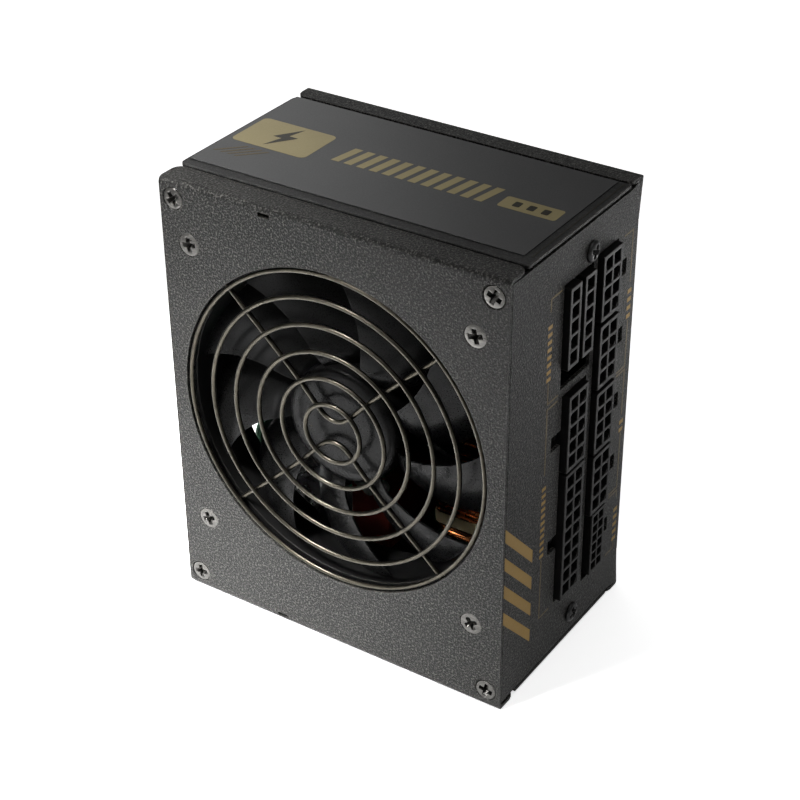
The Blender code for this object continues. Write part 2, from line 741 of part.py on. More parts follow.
def fan_rotor():
    """Cup-shaped hub with nine blades, turning about the fan's axis."""
    inner = HUB_R - HUB_WALL
    profile = [(0, 1.9), (inner, 2.0), (inner, HUB_SKIRT), (HUB_R, HUB_SKIRT),
               (HUB_R, 1.8), (15.7, 0.9), (14.6, 0.45), (9.0, 0.12), (0, 0)]
    hub = lathe("fan_rotor", profile, "Z", 32)
    hub.rotation_euler = (math.radians(-90), 0, 0)
    place(hub, FAN_X, HUB_FRONT, FAN_Z)
    bm = bmesh.new()
    for number in range(BLADES):
        add_blade(bm, math.tau * number / BLADES)
    blades = place(add("rotor_blades", bm, CUTTERS), FAN_X, HUB_FRONT, FAN_Z)
    boolean(hub, blades, "UNION")
    finish(hub, (0.03, 0.03, 0.032), 0.35)


def fan_motor():
    front = HUB_FRONT
    magnet = lathe("rotor_magnet", [(14.5, 7.0), (14.5, 0), (12.9, 0), (12.9, 7.0)], "Y", 24)
    place(magnet, FAN_X, front + 2.4, FAN_Z)
    finish(magnet, (0.08, 0.08, 0.085), 0.6, 0.6)
    shaft = rod("fan_shaft", (FAN_X, front + 7.6, FAN_Z), 1.5, 10.4, "Y", 20)
    finish(shaft, (0.6, 0.6, 0.62), 0.2, 1.0)
    bearing = lathe("fan_bearing", [(3.0, 9.6), (3.0, 0), (1.8, 0), (1.8, 9.6)], "Y", 16)
    place(bearing, FAN_X, front + 4.0, FAN_Z)
    finish(bearing, (0.5, 0.38, 0.18), 0.35, 1.0)
    middle = front + 5.7
    stator = rod("fan_stator", (FAN_X, middle, FAN_Z), 6.2, 4.6, "Y", 20)
    tips = bmesh.new()
    for turn in range(4):
        bm = bmesh.new()
        arm = add_box(bm, (3.0, -2.0, -1.9), (10.4, 2.0, 1.9))
        tip = add_box(tips, (10.0, -1.9, -3.6), (12.0, 1.9, 3.6))
        spin = Matrix.Rotation(turn * math.pi / 2, 3, "Y")
        bmesh.ops.rotate(bm, verts=arm, matrix=spin)
        bmesh.ops.rotate(tips, verts=tip, matrix=spin)
        arm = place(add("stator_arm_%d" % turn, bm, CUTTERS), FAN_X, middle, FAN_Z)
        boolean(stator, arm, "UNION")
    tips = place(add("stator_tips", tips, CUTTERS), FAN_X, middle, FAN_Z)
    boolean(stator, tips, "UNION")
    hole = rod("stator_hole", (FAN_X, middle, FAN_Z), 3.3, 12.0, "Y", 20, CUTTERS)
    boolean(stator, hole, "DIFFERENCE")
    finish(stator, (0.45, 0.2, 0.08), 0.4, 0.7)


# ---- sockets ----------------------------------------------------------------
def socket(name, y, z, columns, rows, pitch=PITCH, latch=0):
    """Header with one square cell for each contact, and a catch for the plug's latch."""
    half_y = columns * pitch / 2 + 0.6
    half_z = rows * pitch / 2 + 0.7
    front = CASE_X + SOCKET_PROUD
    header = box(name, (SOCKET_BACK, y - half_y, z - half_z), (front, y + half_y, z + half_z))
    if latch:
        side = y + latch * half_y
        bm = bmesh.new()
        low, high = sorted((side - latch * 0.5, side + latch * CATCH_PROUD))
        add_box(bm, (CATCH_X[0], low, z - CATCH_HALF), (CATCH_X[1], high, z + CATCH_HALF))
        boolean(header, add(name + "_catch", bm, CUTTERS), "UNION")
    bm = bmesh.new()
    half = CELL * pitch / PITCH / 2
    for column in range(columns):
        for row in range(rows):
            cell_y = y + (column - (columns - 1) / 2) * pitch
            cell_z = z + (row - (rows - 1) / 2) * pitch
            add_box(bm, (front - CELL_DEPTH, cell_y - half, cell_z - half),
                    (front + 1.0, cell_y + half, cell_z + half))
    cut(header, bm)
    return finish(header, (0.018, 0.018, 0.019), 0.4)


def sockets():
    for number, y in enumerate(NARROW_Y, 1):
        socket("drive_socket_%d" % number, y, NARROW_Z, 1, 5)
    socket("board_socket_10", LEFT_Y, BOARD10_Z, 2, 5, latch=-1)
    socket("board_socket_18", LEFT_Y, BOARD18_Z, 2, 9, latch=-1)
    for number, z in enumerate(RIGHT_Z, 1):
        socket("processor_socket_%d" % number, RIGHT_Y, z, 2, 4, latch=1)
    socket("graphics_socket", RIGHT_Y, SMALL_Z, 2, 6, SMALL_PITCH, latch=1)


# ---- inlet and switch -------------------------------------------------------
def inlet():
    bm = bmesh.new()
    add_box(bm, (BEZEL_OUT, -12.2, -15.8), (BEZEL_IN, 12.2, 15.8))
    body = bevel(place(add("inlet_body", bm), 0, INLET_Y, INLET_Z), 0.6, 2)
    bm = bmesh.new()
    half_y, half_z = (size - 0.4 for size in INLET_HALF)
    add_box(bm, (BEZEL_IN - 0.5, -half_y, -half_z), (INLET_END, half_y, half_z))
    shroud = place(add("inlet_shroud", bm, CUTTERS), 0, INLET_Y, INLET_Z)
    boolean(body, shroud, "UNION")
    bm = bmesh.new()
    add_box(bm, (BEZEL_OUT - 1, -CAVITY_Y, -CAVITY_Z),
            (BEZEL_OUT + CAVITY_DEPTH, CAVITY_Y, CAVITY_Z))
    keyed = [e for e in bm.edges if all(v.co.y > 0 for v in e.verts)
             and close_to(e.verts[0].co.z, e.verts[1].co.z)]
    bmesh.ops.bevel(bm, geom=keyed, offset=4.0, segments=1, affect="EDGES")
    cavity = place(add("inlet_cavity", bm, CUTTERS), 0, INLET_Y, INLET_Z)
    boolean(body, cavity, "DIFFERENCE")
    bm = bmesh.new()
    for _, y, z in INLET_PINS:
        add_box(bm, (WELL_END, y - PIN_HALF[0] - FIT, z - PIN_HALF[1] - FIT),
                (INLET_END + 2.0, y + PIN_HALF[0] + FIT, z + PIN_HALF[1] + FIT))
    slots = place(add("inlet_slots", bm, CUTTERS), 0, INLET_Y, INLET_Z)
    boolean(body, slots, "DIFFERENCE")
    finish(body, (0.02, 0.02, 0.021), 0.4)
    for name, y, z in INLET_PINS:
        pin = box(name, (BEZEL_OUT + 2.0, y - PIN_HALF[0], z - PIN_HALF[1]),
                  (PIN_END, y + PIN_HALF[0], z + PIN_HALF[1]))
        place(pin, 0, INLET_Y, INLET_Z)
        bevel(pin, 0.4, 2)
        finish(pin, (0.75, 0.74, 0.7), 0.25, 1.0)


def switch():
    bm = bmesh.new()
    add_box(bm, (BEZEL_OUT + 0.3, -7.6, -10.8), (BEZEL_IN, 7.6, 10.8))
    body = bevel(place(add("switch_body", bm), 0, SWITCH_Y, SWITCH_Z), 0.5, 2)
    bm = bmesh.new()
    half_y, half_z = (size - 0.4 for size in SWITCH_HALF)
    add_box(bm, (BEZEL_IN - 0.5, -half_y, -half_z), (SWITCH_END, half_y, half_z))
    housing = place(add("switch_housing", bm, CUTTERS), 0, SWITCH_Y, SWITCH_Z)
    boolean(body, housing, "UNION")
    bm = bmesh.new()
    add_box(bm, (BEZEL_OUT - 1, -5.2, -8.8), (WELL_END, 5.2, 8.8))
    well = place(add("switch_well", bm, CUTTERS), 0, SWITCH_Y, SWITCH_Z)
    boolean(body, well, "DIFFERENCE")
    finish(body, (0.02, 0.02, 0.021), 0.35)
    rise = ROCKER_HALF * math.tan(math.radians(ROCKER_TILT))
    outline = [(-3.4 - rise, ROCKER_HALF), (-3.4, 0.0), (-3.4 - rise, -ROCKER_HALF),
               (-0.5, -ROCKER_HALF - 0.1), (4.5, -3.5), (4.5, 3.5), (-0.5, ROCKER_HALF + 0.1)]
    bm = bmesh.new()
    face = bm.faces.new([bm.verts.new((x, -ROCKER_WIDE, z)) for x, z in outline])
    made = bmesh.ops.extrude_face_region(bm, geom=[face])["geom"]
    verts = [g for g in made if isinstance(g, bmesh.types.BMVert)]
    bmesh.ops.translate(bm, vec=(0, 2 * ROCKER_WIDE, 0), verts=verts)
    rocker = place(add("switch_rocker", bm), PIVOT_X, SWITCH_Y, SWITCH_Z)
    rocker.rotation_euler = (0, math.radians(ROCKER_TILT), 0)
    bevel(rocker, 0.35, 2)
    finish(rocker, (0.02, 0.02, 0.021), 0.3)


# ---- boards and parts -------------------------------------------------------
def boards():
    main = box("main_board", (BOARD_X[0], BOARD_Y0, BOARD_Z[0]), (BOARD_X[1], BOARD_Y1, BOARD_Z[1]))
    finish(main, (0.02, 0.12, 0.05), 0.4)
    sheet = box("insulating_sheet", (-46.5, 29.4, 3.5), (46.5, 29.9, 121.5))
    finish(sheet, (0.5, 0.5, 0.48), 0.5)
    bm = bmesh.new()
    for x, z in STANDOFFS:
        add_rod(bm, (x, 29.6, z), STANDOFF_R + 0.5, 4.0, "Y", 12)
    cut(sheet, bm)
    for number, (x, z) in enumerate(STANDOFFS, 1):
        y0 = BOARD_Y1 + FIT
        y1 = CASE_Y - SHEET - 0.1
        post = rod("standoff_%d" % number, (x, (y0 + y1) / 2, z), STANDOFF_R, y1 - y0, "Y", 6)
        finish(post, (0.62, 0.5, 0.25), 0.3, 1.0)
    modular = box("modular_board", (MODULAR_X0, -9.0, 9.0), (SOCKET_BACK - FIT, 23.5, 116.0))
    finish(modular, (0.02, 0.12, 0.05), 0.4)


def can(name, x, z, radius, height, colour):
    """Electrolytic capacitor standing on the board."""
    body = rod(name, (x, PARTS_Y - height / 2, z), radius, height, "Y", 24)
    bevel(body, 0.8, 1)
    return finish(body, colour, 0.35)


def toroid(name, x, y, z, radius, hole, wide, axis, colour):
    edge = min(2.0, wide / 4)
    half = wide / 2
    profile = [(radius - edge, half), (radius, half - edge), (radius, edge - half),
               (radius - edge, -half), (hole + edge, -half), (hole, edge - half),
               (hole, half - edge), (hole + edge, half)]
    ring = lathe(name, profile, axis, 24)
    place(ring, x, y, z)
    return finish(ring, colour, 0.3, 0.6)


def transformer():
    x, z = TRANSFORMER
    y1 = PARTS_Y - 1.0
    core = box("transformer_core", (x - 15, y1 - 30, z - 6), (x + 15, y1, z + 6))
    bm = bmesh.new()
    for side in (-1, 1):
        low, high = sorted((x + side * 4.2, x + side * 11.0))
        add_box(bm, (low, y1 - 25.5, z - 8), (high, y1 - 4.5, z + 8))
    cut(core, bm)
    finish(core, (0.05, 0.05, 0.055), 0.5)
    winding = box("transformer_winding", (x - 10.6, y1 - 25.1, z - 12), (x + 10.6, y1 - 4.9, z + 12))
    bm = bmesh.new()
    add_box(bm, (x - 4.6, y1 - 30, z - 6.4), (x + 4.6, y1 + 4, z + 6.4))
    cut(winding, bm)
    finish(winding, (0.75, 0.6, 0.12), 0.5)


def heatsink(name, x0, x1, z0, z1, comb):
    """Upright aluminium plate with short fins along its top edge."""
    sink = box(name, (x0, SINK_TOP, z0), (x1, PARTS_Y, z1))
    bm = bmesh.new()
    slots = int((z1 - z0) / comb)
    for slot in range(slots):
        z = z0 + (slot + 0.5) * comb
        add_box(bm, (x0 - 1, SINK_TOP - 1, z - comb * 0.28),
                (x1 + 1, SINK_TOP + 7.0, z + comb * 0.28))
    cut(sink, bm)
    finish(sink, (0.5, 0.5, 0.52), 0.35, 1.0)


def board_parts():
    copper = (0.6, 0.24, 0.1)
    can("bulk_capacitor", *BULK_CAPACITOR, (0.03, 0.03, 0.035))
    toroid("boost_choke", *BOOST_CHOKE, "X", copper)
    toroid("line_choke", *LINE_CHOKE, "Y", copper)
    finish(bevel(box("film_capacitor", *FILM_CAPACITOR), 0.6, 1), (0.45, 0.04, 0.02), 0.35)
    finish(bevel(box("line_capacitor", *LINE_CAPACITOR), 0.6, 1), (0.7, 0.55, 0.05), 0.4)
    fuse = rod("fuse", FUSE[:3], FUSE[3], FUSE[4], "Z", 16)
    finish(fuse, (0.7, 0.7, 0.72), 0.2, 1.0)
    finish(bevel(box("bridge_rectifier", *BRIDGE), 0.4, 1), (0.02, 0.02, 0.022), 0.4)
    heatsink("primary_heatsink", *PRIMARY_SINK)
    heatsink("secondary_heatsink", *SECONDARY_SINK)
    transformer()
    finish(bevel(box("standby_transformer", *STANDBY), 1.0, 1), (0.72, 0.6, 0.15), 0.5)
    finish(box("control_board", *CONTROL), (0.02, 0.14, 0.06), 0.4)


def fan_lead():
    """Lead from the fan's motor plate to its plug on the board, held inside the case."""
    finish(bevel(box("fan_plug", *PLUG), 0.3, 1), (0.75, 0.73, 0.68), 0.5)
    lead = mesh_object("fan_lead", wire("fan_lead", LEAD_ROUTE, LEAD_R))
    finish(lead, (0.02, 0.02, 0.02), 0.5)


def build():
    global PARTS, CUTTERS, ROOT
    clear_scene()
    PARTS = new_collection("power_supply")
    CUTTERS = new_collection("cutters")
    ROOT = bpy.data.objects.new("case_frame", None)
    bpy.context.scene.collection.objects.link(ROOT)
    ROOT.location = (SHIFT_X * MM, 0, 0)
    case_base()
    fan_cover()
    side_panels()
    labels()
    place_screws()
    wire_guard()
    fan_frame()
    fan_rotor()
    fan_motor()
    sockets()
    inlet()
    switch()
    boards()
    board_parts()
    fan_lead()


build()
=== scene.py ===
import math
import random

import bmesh
import bpy
from mathutils import Matrix, Vector


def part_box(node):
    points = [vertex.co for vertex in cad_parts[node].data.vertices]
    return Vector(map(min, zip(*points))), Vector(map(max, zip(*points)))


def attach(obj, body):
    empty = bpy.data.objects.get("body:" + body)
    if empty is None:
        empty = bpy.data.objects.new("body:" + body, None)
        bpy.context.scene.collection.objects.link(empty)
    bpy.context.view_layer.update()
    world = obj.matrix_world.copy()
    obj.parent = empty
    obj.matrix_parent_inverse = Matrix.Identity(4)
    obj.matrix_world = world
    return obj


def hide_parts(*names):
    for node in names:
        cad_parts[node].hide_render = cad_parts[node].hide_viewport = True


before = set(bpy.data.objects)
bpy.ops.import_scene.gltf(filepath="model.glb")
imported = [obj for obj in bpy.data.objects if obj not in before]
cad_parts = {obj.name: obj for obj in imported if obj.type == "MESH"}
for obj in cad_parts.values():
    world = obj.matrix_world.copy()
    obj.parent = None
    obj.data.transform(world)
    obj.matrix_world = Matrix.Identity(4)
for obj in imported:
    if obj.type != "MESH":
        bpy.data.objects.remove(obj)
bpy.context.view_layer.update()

# Lengths are in millimetres, in the case's own frame: x from the rear wall to the socket wall,
# y from the fan side to the closing plate, z upwards.  MM and MIDDLE_X bring them to the row frame.
MM = 0.001
SHEET_LOW, SHEET_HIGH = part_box("case_base")
MIDDLE_X = (SHEET_LOW.x + SHEET_HIGH.x) / 2
FAN_LOW, FAN_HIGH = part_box("fan_frame")
FAN_X = ((FAN_LOW.x + FAN_HIGH.x) / 2 - MIDDLE_X) / MM
FAN_Z = (FAN_LOW.z + FAN_HIGH.z) / 2 / MM
COVER_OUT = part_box("fan_cover")[0].y / MM
WALL_OUT = (SHEET_HIGH.x - MIDDLE_X) / MM

# ---- shaping helpers --------------------------------------------------------


def to_frame(bm):
    """Millimetres in the case's frame become metres in the row frame."""
    bmesh.ops.scale(bm, vec=(MM, MM, MM), verts=bm.verts)
    bmesh.ops.translate(bm, vec=(MIDDLE_X, 0, 0), verts=bm.verts)


def piece(name, bm, finish, body="case", stands_for=(), crease=35):
    """A new piece from a bmesh in millimetres, riding on its body."""
    to_frame(bm)
    bmesh.ops.recalc_face_normals(bm, faces=bm.faces)
    mesh = bpy.data.meshes.new(name)
    bm.to_mesh(mesh)
    bm.free()
    mesh.shade_smooth()
    mesh.set_sharp_from_angle(angle=math.radians(crease))
    obj = bpy.data.objects.new(name, mesh)
    bpy.context.scene.collection.objects.link(obj)
    mesh.materials.append(finish)
    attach(obj, body)
    if stands_for:
        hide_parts(*stands_for)
    return obj


def ease(obj, width, segments=2, angle=30):
    """Small rounding along every crease, with even shading on the flats."""
    mod = obj.modifiers.new("eased_edges", "BEVEL")
    mod.width = width * MM
    mod.segments = segments
    mod.limit_method = "ANGLE"
    mod.angle_limit = math.radians(angle)
    flats = obj.modifiers.new("even_flats", "WEIGHTED_NORMAL")
    flats.keep_sharp = True
    return obj


def worked(node, finish, width=0.15, segments=2, body="case", angle=28):
    """The CAD form of a node, with its edges eased and its finish put on."""
    bm = bmesh.new()
    bm.from_mesh(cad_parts[node].data)
    bmesh.ops.remove_doubles(bm, verts=bm.verts, dist=0.000002)
    bmesh.ops.dissolve_limit(bm, angle_limit=math.radians(0.5), verts=bm.verts, edges=bm.edges)
    mesh = bpy.data.meshes.new(node + "_worked")
    bm.to_mesh(mesh)
    bm.free()
    if "custom_normal" in mesh.attributes:
        mesh.attributes.remove(mesh.attributes["custom_normal"])
    mesh.shade_smooth()
    mesh.set_sharp_from_angle(angle=math.radians(50))
    mesh.materials.clear()
    mesh.materials.append(finish)
    obj = bpy.data.objects.new(node + "_worked", mesh)
    bpy.context.scene.collection.objects.link(obj)
    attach(obj, body)
    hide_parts(node)
    return ease(obj, width, segments, angle)


def join_rows(bm, rows):
    """Skin between closed loops of equal length, with both ends filled."""
    count = len(rows[0])
    for lower, upper in zip(rows, rows[1:]):
        for i in range(count):
            j = (i + 1) % count
            bm.faces.new((lower[i], lower[j], upper[j], upper[i]))
    bm.faces.new(rows[0][::-1])
    bm.faces.new(rows[-1])


def add_prism(bm, outline, place, low, high):
    """An outline drawn by place(u, v, height), as a solid between two heights."""
    join_rows(bm, [[bm.verts.new(place(u, v, height)) for u, v in outline]
                   for height in (low, high)])


def square(half_u, half_v):
    """Corners of a rectangle round the origin."""
    return [(half_u, half_v), (-half_u, half_v), (-half_u, -half_v), (half_u, -half_v)]


def add_turned(bm, profile, matrix, steps=48):
    """A profile of (radius, height) turned about local Z, closed at the axis or as a ring."""
    rows = []
    for radius, height in profile:
        if radius < 1e-6:
            rows.append([bm.verts.new(matrix @ Vector((0, 0, height)))])
            continue
        row = []
        for step in range(steps):
            angle = math.tau * step / steps
            spot = Vector((radius * math.cos(angle), radius * math.sin(angle), height))
            row.append(bm.verts.new(matrix @ spot))
        rows.append(row)
    pairs = list(zip(rows, rows[1:]))
    if profile[0][0] > 1e-6:
        pairs.append((rows[-1], rows[0]))
    for first, second in pairs:
        for i in range(steps):
            j = (i + 1) % steps
            if len(first) == 1 and len(second) == 1:
                continue
            if len(first) == 1:
                bm.faces.new((first[0], second[i], second[j]))
            elif len(second) == 1:
                bm.faces.new((first[i], first[j], second[0]))
            else:
                bm.faces.new((first[i], first[j], second[j], second[i]))


def add_wire(bm, points, radius, sides=14, closed=False):
    """A round wire along points; open ends are domed."""
    points = [Vector(p) for p in points]
    count = len(points)
    rows = []
    side = None
    for i, point in enumerate(points):
        before = points[i - 1] if closed or i > 0 else point
        after = points[(i + 1) % count] if closed or i < count - 1 else point
        tangent = (after - before).normalized()
        if side is None:
            side = tangent.orthogonal().normalized()
        side = (side - tangent * side.dot(tangent)).normalized()
        other = tangent.cross(side)
        rows.append((point, tangent, side.copy(), other))

    def ring(row, shrink, push):
        point, tangent, across, other = row
        made = []
        for k in range(sides):
            angle = math.tau * k / sides
            offset = across * math.cos(angle) + other * math.sin(angle)
            made.append(bm.verts.new(point + tangent * push + offset * radius * shrink))
        return made

    rings = [ring(row, 1.0, 0.0) for row in rows]
    if not closed:
        rings.insert(0, ring(rows[0], 0.72, -0.55 * radius))
        rings.append(ring(rows[-1], 0.72, 0.55 * radius))
        bm.faces.new(rings[0][::-1])
        bm.faces.new(rings[-1])
    pairs = list(zip(rings, rings[1:]))
    if closed:
        pairs.append((rings[-1], rings[0]))
    for first, second in pairs:
        for k in range(sides):
            j = (k + 1) % sides
            bm.faces.new((first[k], first[j], second[j], second[k]))


def flowing(points, steps=6, closed=False):
    """A smooth path through points."""
    points = [Vector(p) for p in points]
    count = len(points)
    path = []
    for i in range(count if closed else count - 1):
        if closed:
            four = [points[(i + k) % count] for k in (-1, 0, 1, 2)]
        else:
            four = [points[max(0, min(count - 1, i + k))] for k in (-1, 0, 1, 2)]
        for step in range(steps):
            t = step / steps
            a, b, c, d = four
            path.append(0.5 * (2 * b + (c - a) * t + (2 * a - 5 * b + 4 * c - d) * t * t
                               + (3 * b - a - 3 * c + d) * t * t * t))
    if not closed:
        path.append(points[-1])
    return path


def carve(obj, bm):
    """Cut a bmesh in millimetres out of a piece at once."""
    to_frame(bm)
    bmesh.ops.recalc_face_normals(bm, faces=bm.faces)
    mesh = bpy.data.meshes.new("cutter")
    bm.to_mesh(mesh)
    bm.free()
    cutter = bpy.data.objects.new("cutter", mesh)
    bpy.context.scene.collection.objects.link(cutter)
    mod = obj.modifiers.new("carve", "BOOLEAN")
    mod.operation = "DIFFERENCE"
    mod.solver = "EXACT"
    mod.object = cutter
    bpy.context.view_layer.update()
    depsgraph = bpy.context.evaluated_depsgraph_get()
    result = bpy.data.meshes.new_from_object(obj.evaluated_get(depsgraph))
    obj.modifiers.remove(mod)
    obj.data = result
    bpy.data.objects.remove(cutter)
    return obj


# ---- shader groups ----------------------------------------------------------


def new_group(name, inputs, outputs):
    """A node group; inputs are label and first value, and a tuple makes a vector."""
    tree = bpy.data.node_groups.new(name, "ShaderNodeTree")
    for label, value in inputs.items():
        kind = "NodeSocketVector" if isinstance(value, tuple) else "NodeSocketFloat"
        socket = tree.interface.new_socket(name=label, in_out="INPUT", socket_type=kind)
        socket.default_value = value
    for label in outputs:
        tree.interface.new_socket(name=label, in_out="OUTPUT", socket_type="NodeSocketFloat")
    return tree, tree.nodes.new("NodeGroupInput"), tree.nodes.new("NodeGroupOutput")


def put(tree, kind, links=None, **settings):
    """Add a node; links maps its input names or numbers to sockets or values."""
    node = tree.nodes.new(kind)
    for key, value in settings.items():
        setattr(node, key, value)
    for key, value in (links or {}).items():
        if isinstance(value, bpy.types.NodeSocket):
            tree.links.new(value, node.inputs[key])
        else:
            node.inputs[key].default_value = value
    return node


def maths(tree, operation, first, second=0.0, clamp=False):
    node = put(tree, "ShaderNodeMath", {0: first, 1: second}, operation=operation,
               use_clamp=clamp)
    return node.outputs[0]


def ramp(tree, value, low, high, to_low=0.0, to_high=1.0):
    links = {"Value": value, "From Min": low, "From Max": high, "To Min": to_low,
             "To Max": to_high}
    return put(tree, "ShaderNodeMapRange", links, clamp=True).outputs["Result"]


def noise(tree, place, scale, detail=2.0, rough=0.5):
    links = {"Vector": place, "Scale": scale, "Detail": detail, "Roughness": rough}
    return put(tree, "ShaderNodeTexNoise", links).outputs["Fac"]


def own_place(tree):
    return put(tree, "ShaderNodeTexCoord").outputs["Object"]


def powder_grain():
    """Pebbled skin of a baked powder coat; its pale flecks are partly painted glints of the
    pebbles.
    """
    tree, start, end = new_group("powder_grain", {"Grain Scale": 1500.0},
                                 ("Height", "Fleck And Glint", "Gloss Break"))
    place = own_place(tree)
    scale = start.outputs["Grain Scale"]
    pebble = put(tree, "ShaderNodeTexVoronoi", {"Vector": place, "Scale": scale,
                                                "Smoothness": 0.6},
                 feature="SMOOTH_F1").outputs["Distance"]
    coarse = noise(tree, place, maths(tree, "MULTIPLY", scale, 0.9), 2.0, 0.6)
    fine = noise(tree, place, maths(tree, "MULTIPLY", scale, 2.3), 2.0, 0.6)
    mound = maths(tree, "SUBTRACT", 1.0, pebble)
    height = maths(tree, "ADD", maths(tree, "MULTIPLY", mound, 0.4),
                   maths(tree, "MULTIPLY", coarse, 0.8))
    height = maths(tree, "ADD", height, maths(tree, "MULTIPLY", fine, 0.35))
    tree.links.new(height, end.inputs["Height"])
    spread = maths(tree, "ADD", maths(tree, "MULTIPLY", coarse, 0.8),
                   maths(tree, "MULTIPLY", fine, 0.2))
    tree.links.new(ramp(tree, spread, 0.51, 0.65), end.inputs["Fleck And Glint"])
    tree.links.new(ramp(tree, fine, 0.3, 0.7), end.inputs["Gloss Break"])
    return tree


def edge_wear_and_highlight():
    """Where a corner has been rubbed, and where an edge is painted paler as a highlight: a mask
    along convex edges, broken up by noise.
    """
    tree, start, end = new_group(
        "edge_wear_and_highlight", {"Radius": 0.0004, "Break Scale": 400.0, "Amount": 0.6}, ("Mask",))
    rounded = put(tree, "ShaderNodeBevel", {"Radius": start.outputs["Radius"]}, samples=4)
    flat = put(tree, "ShaderNodeNewGeometry").outputs["Normal"]
    turn = put(tree, "ShaderNodeVectorMath", {0: rounded.outputs["Normal"], 1: flat},
               operation="DOT_PRODUCT").outputs["Value"]
    edge = ramp(tree, turn, 0.985, 0.86)
    broken = ramp(tree, noise(tree, own_place(tree), start.outputs["Break Scale"], 4.0, 0.6),
                  0.35, 0.62, 0.35, 1.0)
    mask = maths(tree, "MULTIPLY", edge, broken)
    mask = maths(tree, "MULTIPLY", mask, start.outputs["Amount"], clamp=True)
    tree.links.new(mask, end.inputs["Mask"])
    return tree


def tone_drift():
    """Slow drift of tone over a surface, round 0.5."""
    tree, start, end = new_group("tone_drift", {"Scale": 25.0, "Spread": 0.5}, ("Value",))
    raw = noise(tree, own_place(tree), start.outputs["Scale"], 3.0, 0.55)
    centred = maths(tree, "SUBTRACT", raw, 0.5)
    value = maths(tree, "MULTIPLY", centred, start.outputs["Spread"])
    tree.links.new(maths(tree, "ADD", value, 0.5, clamp=True), end.inputs["Value"])
    return tree


def moulded_skin():
    """Fine spark-eroded skin of moulded plastic."""
    tree, start, end = new_group("moulded_skin", {"Scale": 3500.0}, ("Height", "Gloss Break"))
    place = own_place(tree)
    fine = noise(tree, place, start.outputs["Scale"], 3.0, 0.6)
    broad = noise(tree, place, maths(tree, "MULTIPLY", start.outputs["Scale"], 0.05), 2.0)
    tree.links.new(fine, end.inputs["Height"])
    tree.links.new(maths(tree, "ADD", maths(tree, "MULTIPLY", fine, 0.85),
                         maths(tree, "MULTIPLY", broad, 0.15)), end.inputs["Gloss Break"])
    return tree


def drawn_lines():
    """Fine lines left by rolling, drawing or brushing, along one direction."""
    tree, start, end = new_group("drawn_lines", {"Stretch": (40.0, 4000.0, 4000.0)},
                                 ("Height", "Streak"))
    place = put(tree, "ShaderNodeVectorMath", {0: own_place(tree), 1: start.outputs["Stretch"]},
                operation="MULTIPLY").outputs["Vector"]
    lines = noise(tree, place, 1.0, 3.0, 0.6)
    tree.links.new(lines, end.inputs["Height"])
    tree.links.new(ramp(tree, lines, 0.35, 0.68), end.inputs["Streak"])
    return tree


def settled_dust():
    """Thin dust on faces that look up, thicker in patches."""
    tree, start, end = new_group("settled_dust", {"Amount": 0.2}, ("Mask",))
    normal = put(tree, "ShaderNodeNewGeometry").outputs["Normal"]
    up = put(tree, "ShaderNodeSeparateXYZ", {0: normal}).outputs["Z"]
    patch = ramp(tree, noise(tree, own_place(tree), 60.0, 5.0, 0.65), 0.4, 0.75)
    speck = ramp(tree, noise(tree, own_place(tree), 2600.0, 2.0, 0.6), 0.6, 0.72)
    both = maths(tree, "ADD", maths(tree, "MULTIPLY", patch, 0.5), speck)
    mask = maths(tree, "MULTIPLY", maths(tree, "MAXIMUM", up, 0.0), both)
    mask = maths(tree, "MULTIPLY", mask, start.outputs["Amount"], clamp=True)
    tree.links.new(mask, end.inputs["Mask"])
    return tree


GROUPS = {made.name: made for made in (powder_grain(), edge_wear_and_highlight(), tone_drift(),
                                       moulded_skin(), drawn_lines(), settled_dust())}

# ---- finishes ---------------------------------------------------------------


def new_finish(name, rough=0.5, metal=0.0, specular=0.5):
    """A new material, with its tree and its shader."""
    mat = bpy.data.materials.new(name)
    mat.use_nodes = True
    tree = mat.node_tree
    shader = tree.nodes["Principled BSDF"]
    shader.inputs["Roughness"].default_value = rough
    shader.inputs["Metallic"].default_value = metal
    shader.inputs["Specular IOR Level"].default_value = specular
    return mat, tree, shader


def group(tree, name, **values):
    node = tree.nodes.new("ShaderNodeGroup")
    node.node_tree = GROUPS[name]
    for key, value in values.items():
        node.inputs[key.replace("_", " ")].default_value = value
    return node.outputs


def blend(tree, share, first, second):
    """Mix two colours by a share; colours are sockets or (r, g, b)."""
    node = tree.nodes.new("ShaderNodeMix")
    node.data_type = "RGBA"
    node.clamp_factor = True
    sockets = (node.inputs[6], node.inputs[7])
    if isinstance(share, bpy.types.NodeSocket):
        tree.links.new(share, node.inputs[0])
    else:
        node.inputs[0].default_value = share
    for socket, value in zip(sockets, (first, second)):
        if isinstance(value, bpy.types.NodeSocket):
            tree.links.new(value, socket)
        else:
            socket.default_value = (*value, 1.0)
    return node.outputs[2]


def bump(tree, shader, height, depth_mm, strength=1.0):
    links = {"Height": height, "Distance": depth_mm * MM, "Strength": strength}
    node = put(tree, "ShaderNodeBump", links)
    tree.links.new(node.outputs["Normal"], shader.inputs["Normal"])


